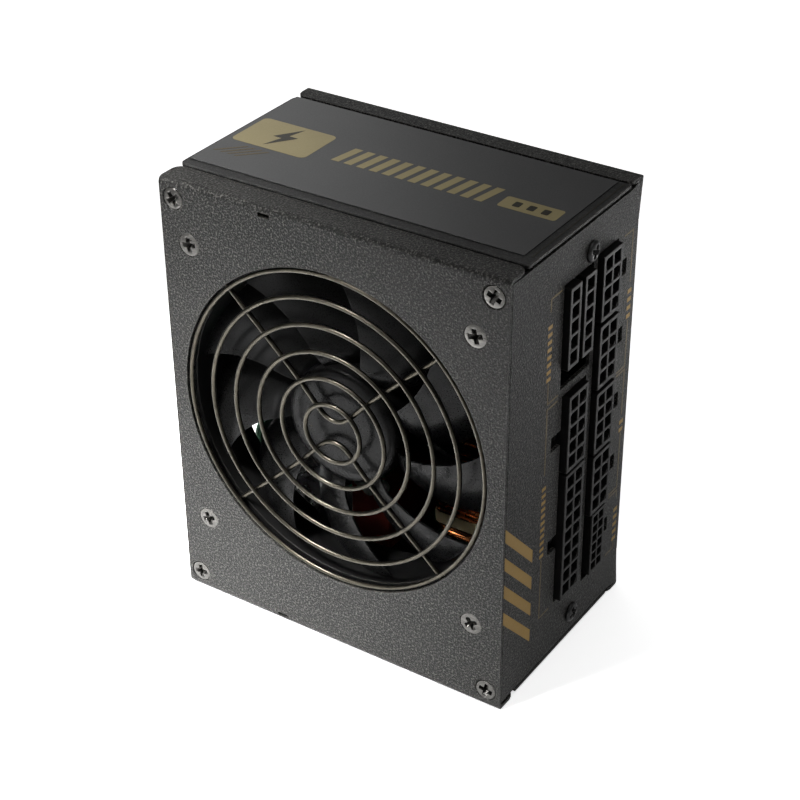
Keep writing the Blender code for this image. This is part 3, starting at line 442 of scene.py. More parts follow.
def powder_coat(name, dark, light, worn_and_lit, rough=(0.42, 0.6), depth=0.09, wear_and_highlight=0.5):
    """Baked powder: dark pebbles with paler flecks that are partly painted glints, rubbed at the
    corners.
    """
    mat, tree, shader = new_finish(name, specular=0.14)
    grain = group(tree, "powder_grain", Grain_Scale=2100.0)
    drift = group(tree, "tone_drift", Scale=22.0, Spread=0.8)
    rub_and_highlight = group(tree, "edge_wear_and_highlight", Radius=0.0005, Break_Scale=350.0, Amount=wear_and_highlight)
    dust = group(tree, "settled_dust", Amount=0.05)
    # pale flecks on a near-black base: partly the coat's grain, partly painted glints
    colour = blend(tree, grain["Fleck And Glint"], dark, light)
    colour = blend(tree, maths(tree, "MULTIPLY", drift["Value"], 0.12), colour, light)
    colour = blend(tree, rub_and_highlight["Mask"], colour, worn_and_lit)
    colour = blend(tree, dust["Mask"], colour, (0.35, 0.34, 0.32))
    tree.links.new(colour, shader.inputs["Base Color"])
    gloss = ramp(tree, grain["Gloss Break"], 0.0, 1.0, *rough)
    tree.links.new(maths(tree, "SUBTRACT", gloss, maths(tree, "MULTIPLY", rub_and_highlight["Mask"], 0.15)),
                   shader.inputs["Roughness"])
    bump(tree, shader, grain["Height"], depth)
    return mat


def moulded(name, base, shade, rough=(0.32, 0.48), skin=3500.0, depth=0.012, wear_and_highlight=0.3,
            worn_and_lit=(0.12, 0.12, 0.12), specular=0.5):
    """Moulded or dipped parts: fine skin, slow drift of tone, corners made paler as wear and as
    painted highlights, and dust.
    """
    mat, tree, shader = new_finish(name, specular=specular)
    grain = group(tree, "moulded_skin", Scale=skin)
    drift = group(tree, "tone_drift", Scale=60.0, Spread=1.2)
    rub_and_highlight = group(tree, "edge_wear_and_highlight", Radius=0.0003, Break_Scale=600.0, Amount=wear_and_highlight)
    dust = group(tree, "settled_dust", Amount=0.015)
    colour = blend(tree, drift["Value"], base, shade)
    colour = blend(tree, rub_and_highlight["Mask"], colour, worn_and_lit)
    colour = blend(tree, dust["Mask"], colour, (0.3, 0.29, 0.27))
    tree.links.new(colour, shader.inputs["Base Color"])
    tree.links.new(ramp(tree, grain["Gloss Break"], 0.3, 0.7, *rough),
                   shader.inputs["Roughness"])
    bump(tree, shader, grain["Height"], depth)
    return mat


def bare_metal(name, base, shade, rough=(0.2, 0.38), stretch=(60.0, 3000.0, 3000.0),
               depth=0.004, wear_and_highlight=0.3, worn_and_lit=(0.9, 0.88, 0.84)):
    """Metal with fine drawn lines and bright corners."""
    mat, tree, shader = new_finish(name, metal=1.0)
    lines = group(tree, "drawn_lines", Stretch=stretch)
    drift = group(tree, "tone_drift", Scale=150.0, Spread=1.4)
    rub_and_highlight = group(tree, "edge_wear_and_highlight", Radius=0.0002, Break_Scale=900.0, Amount=wear_and_highlight)
    colour = blend(tree, lines["Streak"], base, shade)
    colour = blend(tree, maths(tree, "MULTIPLY", drift["Value"], 0.5), colour, shade)
    colour = blend(tree, rub_and_highlight["Mask"], colour, worn_and_lit)
    tree.links.new(colour, shader.inputs["Base Color"])
    tree.links.new(ramp(tree, drift["Value"], 0.2, 0.8, *rough), shader.inputs["Roughness"])
    bump(tree, shader, lines["Height"], depth)
    return mat


def printed(name, base, shade, rough=(0.36, 0.46), metal=0.8):
    """Ink with metal flake in it, laid on another surface."""
    mat, tree, shader = new_finish(name, metal=metal, specular=0.12)
    grain = group(tree, "moulded_skin", Scale=1800.0)
    drift = group(tree, "tone_drift", Scale=120.0, Spread=1.0)
    tree.links.new(blend(tree, drift["Value"], base, shade), shader.inputs["Base Color"])
    tree.links.new(ramp(tree, grain["Gloss Break"], 0.3, 0.7, *rough),
                   shader.inputs["Roughness"])
    bump(tree, shader, grain["Height"], 0.02)
    return mat


def satin_film():
    """Laminated label stock: smooth, with a slight ripple."""
    mat, tree, shader = new_finish("satin_label", specular=0.5)
    grain = group(tree, "moulded_skin", Scale=2400.0)
    drift = group(tree, "tone_drift", Scale=12.0, Spread=1.0)
    dust = group(tree, "settled_dust", Amount=0.035)
    colour = blend(tree, drift["Value"], (0.009, 0.009, 0.0095), (0.014, 0.014, 0.014))
    colour = blend(tree, dust["Mask"], colour, (0.3, 0.3, 0.28))
    tree.links.new(colour, shader.inputs["Base Color"])
    tree.links.new(ramp(tree, grain["Gloss Break"], 0.3, 0.7, 0.36, 0.46),
                   shader.inputs["Roughness"])
    bump(tree, shader, grain["Height"], 0.006)
    return mat


FINISHES = {
    "black_powder_coat": powder_coat("black_powder_coat", (0.0005, 0.0005, 0.0005),
                                     (0.085, 0.083, 0.076), (0.09, 0.087, 0.08),
                                     rough=(0.38, 0.56), depth=0.3),
    "panel_coat": powder_coat("panel_coat", (0.006, 0.006, 0.006), (0.03, 0.03, 0.029),
                              (0.2, 0.195, 0.185), depth=0.03),
    "satin_label": satin_film(),
    "nickel_screw": bare_metal("nickel_screw", (0.11, 0.107, 0.1), (0.06, 0.058, 0.055),
                               rough=(0.2, 0.36), worn_and_lit=(0.4, 0.39, 0.37)),
    "black_screw": bare_metal("black_screw", (0.06, 0.06, 0.06), (0.03, 0.03, 0.03),
                              rough=(0.3, 0.5), worn_and_lit=(0.4, 0.39, 0.37), wear_and_highlight=0.5),
    "nickel_wire": bare_metal("nickel_wire", (0.062, 0.057, 0.045), (0.036, 0.033, 0.026),
                              rough=(0.26, 0.38), stretch=(900.0, 900.0, 900.0),
                              worn_and_lit=(0.3, 0.28, 0.22)),
    # its pale rubbed edges also serve as painted highlights: the thin bright lines round the socket
    # cells
    "black_plastic": moulded("black_plastic", (0.002, 0.002, 0.002), (0.005, 0.005, 0.005),
                             wear_and_highlight=0.5, worn_and_lit=(0.1, 0.095, 0.08), specular=0.12),
    "satin_plastic": moulded("satin_plastic", (0.002, 0.002, 0.002), (0.004, 0.004, 0.004),
                             rough=(0.24, 0.34), specular=0.075, worn_and_lit=(0.04, 0.04, 0.04)),
    "ferrite": moulded("ferrite", (0.03, 0.03, 0.032), (0.055, 0.055, 0.056),
                       rough=(0.5, 0.7), skin=2200.0, depth=0.04),
    "steel": bare_metal("steel", (0.6, 0.6, 0.6), (0.42, 0.42, 0.42)),
    "brass": bare_metal("brass", (0.72, 0.55, 0.25), (0.5, 0.36, 0.15)),
    "copper_wire": bare_metal("copper_wire", (0.86, 0.34, 0.13), (0.62, 0.2, 0.06),
                              rough=(0.18, 0.3), wear_and_highlight=0.0),
    "tinned_pin": bare_metal("tinned_pin", (0.78, 0.77, 0.74), (0.58, 0.57, 0.54)),
    "green_board": moulded("green_board", (0.008, 0.07, 0.03), (0.012, 0.11, 0.045),
                           rough=(0.25, 0.4), skin=1200.0, wear_and_highlight=0.6, worn_and_lit=(0.35, 0.4, 0.2)),
    "grey_sheet": moulded("grey_sheet", (0.42, 0.42, 0.4), (0.55, 0.55, 0.53),
                          rough=(0.5, 0.65)),
    "black_sleeve": moulded("black_sleeve", (0.014, 0.014, 0.016), (0.03, 0.03, 0.034),
                            rough=(0.25, 0.4)),
    "red_case": moulded("red_case", (0.2, 0.02, 0.012), (0.28, 0.035, 0.018),
                        rough=(0.25, 0.4), worn_and_lit=(0.4, 0.1, 0.06)),
    "yellow_tape": moulded("yellow_tape", (0.68, 0.52, 0.12), (0.8, 0.66, 0.22),
                           rough=(0.3, 0.45), worn_and_lit=(0.85, 0.75, 0.4)),
    "aluminium": bare_metal("aluminium", (0.66, 0.67, 0.68), (0.5, 0.5, 0.52),
                            stretch=(3000.0, 3000.0, 60.0)),
    "cream_tape": moulded("cream_tape", (0.62, 0.55, 0.33), (0.72, 0.66, 0.42),
                          rough=(0.4, 0.55), worn_and_lit=(0.8, 0.75, 0.55)),
    "green_sleeve": moulded("green_sleeve", (0.03, 0.07, 0.045), (0.045, 0.1, 0.06),
                            rough=(0.25, 0.4)),
    "blue_disc": moulded("blue_disc", (0.03, 0.09, 0.22), (0.05, 0.13, 0.3),
                         rough=(0.25, 0.4)),
    "brown_wire": moulded("brown_wire", (0.12, 0.045, 0.02), (0.17, 0.065, 0.03)),
    "blue_wire": moulded("blue_wire", (0.02, 0.06, 0.25), (0.03, 0.09, 0.33)),
    "green_wire": moulded("green_wire", (0.1, 0.3, 0.03), (0.14, 0.38, 0.05)),
    "silicone": moulded("silicone", (0.5, 0.53, 0.48), (0.62, 0.65, 0.6), rough=(0.3, 0.45),
                        skin=700.0, depth=0.1),
    "ivory_plug": moulded("ivory_plug", (0.7, 0.67, 0.6), (0.8, 0.77, 0.7),
                          rough=(0.35, 0.5), worn_and_lit=(0.85, 0.82, 0.75)),
    "gold_print": printed("gold_print", (0.24, 0.2, 0.1), (0.29, 0.245, 0.125)),
    "wall_gold_print": printed("wall_gold_print", (0.2, 0.12, 0.022), (0.27, 0.165, 0.034),
                               metal=0.3),
    "faint_print": printed("faint_print", (0.075, 0.055, 0.022), (0.11, 0.08, 0.034)),
    "pale_print": printed("pale_print", (0.45, 0.45, 0.43), (0.55, 0.55, 0.53), metal=0.0),
    "grey_print": printed("grey_print", (0.16, 0.16, 0.155), (0.22, 0.22, 0.21), metal=0.0),
    # dark ink, also used for the painted shadow in the panel seam
    "dark_print_and_shadow": printed("dark_print_and_shadow", (0.02, 0.018, 0.012), (0.03, 0.027, 0.02)),
}


# ---- case -------------------------------------------------------------------
def case_sheets():
    coat = FINISHES["black_powder_coat"]
    worked("case_base", coat, 0.18)
    worked("fan_cover", coat, 0.18)
    worked("side_panel_top", FINISHES["panel_coat"], 0.2)
    worked("side_panel_bottom", FINISHES["panel_coat"], 0.2)
    worked("side_label", FINISHES["satin_label"], 0.06)
    worked("rating_label", FINISHES["satin_label"], 0.06)


def plus_outline(arm, half):
    return [(half, half), (half, arm), (-half, arm), (-half, half), (-arm, half),
            (-arm, -half), (-half, -half), (-half, -arm), (half, -arm), (half, -half),
            (arm, -half), (arm, half)]


def add_cross_recess(bm, matrix, top, depth):
    """Tapered cross slot, open at the top of a screw head."""
    rows = []
    for arm, half, height in ((2.2, 0.72, top + 0.5), (1.85, 0.6, top - 0.3),
                              (0.6, 0.34, top - depth)):
        rows.append([bm.verts.new(matrix @ Vector((x, y, height)))
                     for x, y in plus_outline(arm, half)])
    join_rows(bm, rows)


def facing(direction, place, spin=0.0):
    """Matrix that puts local +Z along a direction at a place."""
    turn = Vector(direction).to_track_quat("Z", "Y").to_matrix().to_4x4()
    return Matrix.Translation(place) @ turn @ Matrix.Rotation(spin, 4, "Z")


def middle_of(node):
    low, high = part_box(node)
    middle = (low + high) / 2
    return Vector(((middle.x - MIDDLE_X) / MM, middle.y / MM, middle.z / MM))


SHANK = [(1.4, -5.4), (1.1, -5.8), (0, -5.8)]
FLAT_CROWN = 0.16          # how far each head's middle stands above its rim
PAN_CROWN = 1.2


def turned_screw(node, finish, profile, matrix, crown, recess):
    """A screw turned from its profile, with a cross recess cut into the head."""
    bm = bmesh.new()
    add_turned(bm, profile + SHANK, matrix, 48)
    obj = piece(node + "_turned", bm, finish, stands_for=(node,))
    cutter = bmesh.new()
    add_cross_recess(cutter, matrix, crown, recess)
    carve(obj, cutter)
    ease(obj, 0.05, 1, 40)


def countersunk(node, head, finish, spin):
    """Flat-headed screw, its head a little sunk in the cover."""
    centre = middle_of(node)
    matrix = facing((0, -1, 0), (centre.x, COVER_OUT + 0.12, centre.z), spin)
    profile = [(0, FLAT_CROWN), (head * 0.45, 0.14), (head * 0.8, 0.07), (head - 0.12, 0.0),
               (head, -0.12), (head - 0.04, -0.3), (1.55, -1.5), (1.4, -1.7)]
    turned_screw(node, finish, profile, matrix, FLAT_CROWN, 1.7)


def pan_head(node, finish, spin):
    """Round-topped screw that stands on the socket wall."""
    centre = middle_of(node)
    matrix = facing((1, 0, 0), (WALL_OUT, centre.y, centre.z), spin)
    profile = [(0, PAN_CROWN), (1.2, 1.16), (2.1, 0.98), (2.6, 0.66), (2.75, 0.34),
               (2.72, 0.16), (2.6, 0.12), (1.4, 0.12)]
    turned_screw(node, finish, profile, matrix, PAN_CROWN, 1.5)


def screws():
    spins = random.Random(4)
    for kind, head in (("fan_screw", 3.05), ("cover_screw", 2.85)):
        for number in range(1, 5):
            node = "%s_%d" % (kind, number)
            countersunk(node, head, FINISHES["nickel_screw"], spins.uniform(0, 1.5))
    for number in (1, 2):
        pan_head("socket_wall_screw_%d" % number, FINISHES["black_screw"],
                 spins.uniform(0, 1.5))


# ---- wire guard -------------------------------------------------------------
WIRE_R = 0.62
WIRE_CENTRE = 0.6          # from the guard's outer faces to the middle of its wire
RING_RADII = (8.25, 15.5, 22.7, 30.0, 37.3, 44.4)
EYE_R = 2.9
EYE_STEPS = 9
EYE_START = -100
EYE_TURN = 35              # degrees from one point of an eye to the next
SCREW_HALF = 41.5
SPOKE_ARM = ((32.0, 32.8), (22.0, 23.2), (13.0, 14.6), (7.6, 8.9), (5.0, 5.9), (2.6, 3.9))
SPOKE_BEND = (0.0, 3.2)


def guard_ring(radius, y):
    count = max(48, int(radius * 4))
    return [(FAN_X + radius * math.cos(math.tau * i / count), y,
             FAN_Z + radius * math.sin(math.tau * i / count)) for i in range(count)]


def guard_spoke(side, y):
    """One bent wire: an eye, in along a diagonal, round a U and out to the other eye."""
    points = []
    for hand in (-1, 1):
        arm = []
        for step in range(EYE_STEPS):
            angle = math.radians(EYE_START + EYE_TURN * step)
            arm.append((hand * (SCREW_HALF + EYE_R * math.cos(angle)),
                        SCREW_HALF + EYE_R * math.sin(angle)))
        arm += [(hand * x, z) for x, z in SPOKE_ARM]
        if hand > 0:
            arm = arm[::-1]
            points.append(SPOKE_BEND)
        points += arm
    return flowing([(FAN_X + x, y, FAN_Z + side * z) for x, z in points], 6)


def wire_guard():
    low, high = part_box("wire_guard")
    ring_y = low.y / MM + WIRE_CENTRE
    spoke_y = high.y / MM - WIRE_CENTRE
    bm = bmesh.new()
    for radius in RING_RADII:
        add_wire(bm, guard_ring(radius, ring_y), WIRE_R, 16, closed=True)
    finish = FINISHES["nickel_wire"]
    piece("guard_rings", bm, finish, stands_for=("wire_guard",))
    bm = bmesh.new()
    for side in (1, -1):
        add_wire(bm, guard_spoke(side, spoke_y), WIRE_R, 16)
    piece("guard_spokes", bm, finish)


# ---- fan --------------------------------------------------------------------
HUB_R = 16.3
BLADE_R = 43.2
BLADES = 9
LEAD_TIP = 90.0
LEAD_ROOT = 70.0
WIDTH_TIP = 31.0
WIDTH_ROOT = 41.0
ACROSS = 14
STATIONS = 16
ROOT_SINK = 0.7            # the roots start this far inside the hub
BLADE_FRONT = 0.9          # from the hub's face back to the blades
ROOT_DROP = 2.2            # and more at the roots, over this share of the span
ROOT_SHARE = 0.22
DEPTH_ROOT = 9.6
DEPTH_TIP = 8.0
CAMBER = 1.1
HALF_ROOT = 0.85
HALF_TIP = 0.55
EDGE_HALF = 0.22           # share of the thickness that is left at both edges


def blade_point(share, across, face):
    """A point on a blade, by share of span, place across it, and front or back face."""
    radius = HUB_R - ROOT_SINK + (BLADE_R - HUB_R + ROOT_SINK) * share
    lead = LEAD_ROOT + (LEAD_TIP - LEAD_ROOT) * share ** 1.3
    width = WIDTH_ROOT + (WIDTH_TIP - WIDTH_ROOT) * share
    front = BLADE_FRONT + ROOT_DROP * max(0.0, 1.0 - share / ROOT_SHARE) ** 2
    depth = DEPTH_ROOT + (DEPTH_TIP - DEPTH_ROOT) * share
    angle = math.radians(lead - width * across)
    camber = CAMBER * math.sin(math.pi * across)
    swell = math.sqrt(math.sin(math.pi * (0.03 + 0.94 * across)))
    half = (HALF_ROOT + (HALF_TIP - HALF_ROOT) * share) * (
        EDGE_HALF + (1.0 - EDGE_HALF) * swell)
    y = front + depth * across - camber + face * half
    return Vector((radius * math.cos(angle), y, radius * math.sin(angle)))


def add_fine_blade(bm, turn, origin):
    spin = Matrix.Rotation(-turn, 3, "Y")
    rows = []
    for station in range(STATIONS + 1):
        share = station / STATIONS
        loop = [blade_point(share, i / ACROSS, -1) for i in range(ACROSS + 1)]
        loop += [blade_point(share, i / ACROSS, 1) for i in range(ACROSS, -1, -1)]
        rows.append([bm.verts.new(origin + spin @ point) for point in loop])
    join_rows(bm, rows)


def fan():
    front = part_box("fan_rotor")[0].y / MM
    origin = Vector((FAN_X, front, FAN_Z))
    bm = bmesh.new()
    matrix = facing((0, -1, 0), origin)
    profile = [(0, 0.0), (5.0, -0.02), (9.0, -0.1), (12.2, -0.26), (14.2, -0.5), (15.2, -0.85),
               (15.9, -1.35), (16.2, -2.0), (16.3, -3.0), (16.3, -10.1), (16.1, -10.3),
               (15.1, -10.3), (14.9, -10.1), (14.9, -2.2), (14.6, -2.0), (0, -1.9)]
    add_turned(bm, profile, matrix, 96)
    piece("fan_hub", bm, FINISHES["satin_plastic"], "rotor", ("fan_rotor",))
    bm = bmesh.new()
    for number in range(BLADES):
        add_fine_blade(bm, math.tau * number / BLADES, origin)
    piece("fan_blades", bm, FINISHES["satin_plastic"], "rotor", (), 60)
    worked("fan_frame", FINISHES["black_plastic"], 0.25)


# ---- sockets ----------------------------------------------------------------
PITCH = 4.2
SMALL_PITCH = 3.0
CELL = 3.3
CELL_DEPTH = 9.5
RIM_Y = 0.6                # wall outside the outermost cells
RIM_Z = 0.7
PIN_HALF = 0.55
KEY_CORNER = 1.0
LATCH_HALF = 1.6
# the nose that a plug's latch hooks over: x, and distance out from the socket's side
LATCH_OUTLINE = ((43.5, -0.3), (43.5, 0.35), (47.2, 1.1), (48.2, 1.1), (48.2, -0.3))
SOCKETS = {
    "drive_socket_1": (1, 5, PITCH, 0), "drive_socket_2": (1, 5, PITCH, 0),
    "board_socket_10": (2, 5, PITCH, -1), "board_socket_18": (2, 9, PITCH, -1),
    "processor_socket_1": (2, 4, PITCH, 1), "processor_socket_2": (2, 4, PITCH, 1),
    "processor_socket_3": (2, 4, PITCH, 1), "processor_socket_4": (2, 4, PITCH, 1),
    "graphics_socket": (2, 6, SMALL_PITCH, 1),
}


def cell_lines(middle, count, pitch, half_size, half_cell):
    lines = [middle - half_size]
    for number in range(count):
        centre = middle + (number - (count - 1) / 2) * pitch
        lines += [centre - half_cell, centre + half_cell]
    return lines + [middle + half_size]


def add_header(bm, ys, zs, front, back, depth):
    """Block with a row of square wells in its +X face."""
    wells = {}

    def vert(i, j, x):
        key = (i, j, x)
        if key not in wells:
            wells[key] = bm.verts.new((x, ys[i], zs[j]))
        return wells[key]

    last_i = len(ys) - 1
    last_j = len(zs) - 1
    bottom = front - depth
    for i in range(last_i):
        for j in range(last_j):
            corners = ((i, j), (i + 1, j), (i + 1, j + 1), (i, j + 1))
            well = i % 2 == 1 and j % 2 == 1
            level = bottom if well else front
            bm.faces.new([vert(a, b, level) for a, b in corners])
            if well:
                for (a, b), (c, d) in zip(corners, corners[1:] + corners[:1]):
                    bm.faces.new((vert(a, b, front), vert(c, d, front),
                                  vert(c, d, bottom), vert(a, b, bottom)))
    rim = [(i, 0) for i in range(last_i)] + [(last_i, j) for j in range(last_j)]
    rim += [(i, last_j) for i in range(last_i, 0, -1)] + [(0, j) for j in range(last_j, 0, -1)]
    for (a, b), (c, d) in zip(rim, rim[1:] + rim[:1]):
        bm.faces.new((vert(a, b, front), vert(a, b, back), vert(c, d, back), vert(c, d, front)))
    bm.faces.new([vert(a, b, back) for a, b in rim])


def header(node, columns, rows, pitch, latch):
    """One socket: its block of cells, the corners that key it, its pins and latch nose."""
    low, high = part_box(node)
    front = (high.x - MIDDLE_X) / MM
    back = (low.x - MIDDLE_X) / MM
    half_y = columns * pitch / 2 + RIM_Y
    half_z = rows * pitch / 2 + RIM_Z
    middle_z = (low.z + high.z) / 2 / MM
    middle_y = (low.y + high.y) / 2 / MM
    if latch:
        middle_y = high.y / MM - half_y if latch < 0 else low.y / MM + half_y
    half_cell = CELL * pitch / PITCH / 2
    ys = cell_lines(middle_y, columns, pitch, half_y, half_cell)
    zs = cell_lines(middle_z, rows, pitch, half_z, half_cell)
    bm = bmesh.new()
    add_header(bm, ys, zs, front, back, CELL_DEPTH)
    obj = piece(node + "_header", bm, FINISHES["black_plastic"], "case", (node,),
                30)
    ease(obj, 0.14, 2, 40)
    keys = bmesh.new()
    pins = bmesh.new()
    for column in range(columns):
        for row in range(rows):
            y = middle_y + (column - (columns - 1) / 2) * pitch
            z = middle_z + (row - (rows - 1) / 2) * pitch
            add_contact(pins, front, y, z, pitch / PITCH)
            if (column + row) % 2 and pitch == PITCH:
                add_key_corners(keys, front, y, z, half_cell, 1 if column else -1)
    if latch:
        side = middle_y + latch * half_y
        add_prism(keys, LATCH_OUTLINE, lambda u, v, h: (u, side + latch * v, middle_z + h),
                  -LATCH_HALF, LATCH_HALF)
    if len(keys.faces):
        piece(node + "_keys", keys, FINISHES["black_plastic"])
    piece(node + "_contacts", pins, FINISHES["tinned_pin"])


def add_contact(bm, front, y, z, scale):
    """Square pin with a pointed tip, standing on the floor of a cell."""
    half = PIN_HALF * scale
    base = front - CELL_DEPTH - 0.3
    rows = []
    for x, grow in ((base, 1.0), (front - 3.4, 1.0), (front - 2.6, 0.45)):
        rows.append([bm.verts.new((x, y + u, z + v))
                     for u, v in square(half * grow, half * grow)])
    join_rows(bm, rows)


def add_key_corners(bm, front, y, z, half, side):
    """Two filled corners that make a cell D-shaped, so only the right plug goes in."""
    for up in (-1, 1):
        corner_y = y + side * (half + 0.05)
        corner_z = z + up * (half + 0.05)
        outline = [(corner_y, corner_z), (corner_y - side * KEY_CORNER, corner_z),
                   (corner_y, corner_z - up * KEY_CORNER)]
        add_prism(bm, outline, lambda u, v, h: (h, u, v), front - CELL_DEPTH - 0.1,
                  front - 0.18)


def sockets():
    for node, (columns, rows, pitch, latch) in SOCKETS.items():
        header(node, columns, rows, pitch, latch)


# ---- printed marks ----------------------------------------------------------
LABEL_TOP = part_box("side_label")[1].z / MM
MARK_THICK = 0.03
HALF_DEPTH = 50.0          # from the middle of the case to its rear edge


def on_label(u, v, height):
    """u along the label from the rear edge of the case, v from the fan side."""
    return (u - HALF_DEPTH, v + COVER_OUT, LABEL_TOP + height)


def on_wall(u, v, height):
    """u from the fan side, v up, on the socket wall."""
    return (WALL_OUT + height, u + COVER_OUT, v)


def slanted(u0, u1, v0, v1, lean):
    """Four-sided bar whose far end is shifted by lean."""
    return [(u0, v0), (u1, v0), (u1 + lean, v1), (u0 + lean, v1)]


def rounded_outline(u0, v0, u1, v1, radius, steps=5):
    """Rectangle with round corners."""
    outline = []
    for cu, cv, start in ((u1 - radius, v0 + radius, -90), (u1 - radius, v1 - radius, 0),
                          (u0 + radius, v1 - radius, 90), (u0 + radius, v0 + radius, 180)):
        for step in range(steps + 1):
            angle = math.radians(start + 90 * step / steps)
            outline.append((cu + radius * math.cos(angle), cv + radius * math.sin(angle)))
    return outline


SUNK = -0.01               # the marks start this far inside the surface
DARK_RISE = 0.02           # dark marks stand this far above the gold ones
BADGE = (2.2, 26.0, 25.0, 41.2)
TAG = (78.4, 29.7, 94.2, 35.5)
BOLT = ((15.6, 40.0), (10.6, 33.0), (13.2, 33.0), (11.4, 27.4), (17.0, 34.9), (14.2, 34.9))


def label_marks():
    """A badge, a row of leaning bars and a tag, in gold, with dark marks on them, and a painted
    shadow in the seam by the socket wall.
    """
    bm = bmesh.new()
    add_prism(bm, rounded_outline(*BADGE, 1.6), on_label, SUNK, MARK_THICK)
    for number in range(12):
        u = 31.0 + number * 3.75
        add_prism(bm, slanted(u, u + 2.3, 29.3, 38.0, 1.6), on_label, SUNK, MARK_THICK)
    add_prism(bm, rounded_outline(*TAG, 0.8), on_label, SUNK, MARK_THICK)
    piece("label_gold_marks", bm, FINISHES["gold_print"])
    bm = bmesh.new()
    add_prism(bm, BOLT, on_label, 0.0, MARK_THICK + DARK_RISE)
    for number in range(3):
        u = 81.6 + number * 3.9
        add_prism(bm, rounded_outline(u, 31.3, u + 2.0, 33.9, 0.4), on_label, 0.0,
                  MARK_THICK + DARK_RISE)
    piece("label_dark_marks", bm, FINISHES["dark_print_and_shadow"])
    bm = bmesh.new()
    for number in range(4):
        u = 2.6 + number * 2.2
        add_prism(bm, slanted(u, u + 0.7, 18.4, 24.4, 6.0), on_label, SUNK, MARK_THICK)
    piece("label_faint_marks", bm, FINISHES["faint_print"])
    bm = bmesh.new()
    # a dark strip sunk below the label at the seam by the socket wall: painted shadow of the gap
    # between the sheets
    add_prism(bm, slanted(98.3, 98.75, 12.0, 56.4, 0.0), on_label, -0.4, -0.2)
    piece("panel_seam_painted_shadow", bm, FINISHES["dark_print_and_shadow"])


NEAR_LINE = 19.2           # from the fan side to the two upright lines on the socket wall
FAR_LINE = 59.8
LINE_HALF = 0.22
TICK_HALF = 0.2
DASH_HALF = 1.0
BAR_FOOTS = (38.0, 29.6, 21.2, 12.8)
# line, its two ends, its tick's height and how far the tick reaches
BRACKETS = ((NEAR_LINE, 82.0, 88.0, 82.2, 5.0), (NEAR_LINE, 107.5, 111.2, 111.0, 5.0),
            (NEAR_LINE, 61.6, 80.8, 80.6, 5.0), (NEAR_LINE, 17.0, 36.0, 17.2, 5.0),
            (FAR_LINE, 97.0, 111.8, 111.6, -4.6), (FAR_LINE, 72.2, 86.0, 72.4, -4.6),
            (FAR_LINE, 57.6, 71.6, 71.4, -4.6), (FAR_LINE, 34.4, 52.0, 34.6, -4.6),
            (FAR_LINE, 31.6, 33.8, 33.6, -4.6), (FAR_LINE, 14.4, 16.6, 14.6, -4.6))
# line, the two ends of the row and the step from bar to bar
DASH_ROWS = ((NEAR_LINE, 88.6, 107.0, 2.05), (NEAR_LINE, 36.6, 61.0, 2.05),
             (FAR_LINE, 86.6, 96.4, 2.4), (FAR_LINE, 52.4, 57.2, 2.4),
             (FAR_LINE, 17.2, 31.2, 2.4))


def wall_marks():
    """Leaning gold bars, thin brackets round the sockets, and bars in place of captions."""
    bm = bmesh.new()
    for v in BAR_FOOTS:
        outline = [(0.9, v + 18.5), (14.6, v + 3.9), (14.6, v), (0.9, v + 14.6)]
        add_prism(bm, outline, on_wall, 0.0, MARK_THICK)
    piece("wall_gold_bars", bm, FINISHES["wall_gold_print"])
    bm = bmesh.new()
    for u, v_low, v_high, tick, reach in BRACKETS:
        add_prism(bm, slanted(u - LINE_HALF, u + LINE_HALF, v_low, v_high, 0.0), on_wall, 0.0,
                  MARK_THICK)
        start, end = sorted((u, u + reach))
        add_prism(bm, slanted(start, end, tick - TICK_HALF, tick + TICK_HALF, 0.0), on_wall,
                  0.0, MARK_THICK)
    piece("wall_bracket_lines", bm, FINISHES["faint_print"])
    bm = bmesh.new()
    for u, v_low, v_high, step in DASH_ROWS:
        for number in range(int((v_high - v_low) / step)):
            v = v_low + number * step
            add_prism(bm, slanted(u - DASH_HALF, u + DASH_HALF, v, v + step * 0.5, 0.0),
                      on_wall, 0.0, MARK_THICK)
    piece("wall_dash_marks", bm, FINISHES["wall_gold_print"])


# ---- inside -----------------------------------------------------------------
BOOST_RING = (14.5, 6.0, 7.0)      # outer radius, hole and half width, over the turns
BOOST_WIRE = 0.62
BOOST_TURNS = 56
TURNS_START = math.radians(10)
TURNS_SPAN = math.radians(340)
TAPE_START = math.radians(180)
TAPE_SPAN = math.radians(15)
TAPE_STEPS = 6
LINE_TURN = (9.9, 4.6, 4.9, 1.1)   # one turn of the line choke, and its corner
LINE_WIRE = 0.5
BOARD_FACE = 24.5          # the board's face towards the fan


def add_bar(bm, low, high):
    """Straight-edged block between two corners, in case millimetres."""
    add_prism(bm, [(low[0], low[1]), (high[0], low[1]), (high[0], high[1]),
                   (low[0], high[1])], lambda x, y, z: (x, y, z), low[2], high[2])


def round_place(matrix, radius, angle, across):
    return matrix @ Vector((radius * math.cos(angle), radius * math.sin(angle), across))


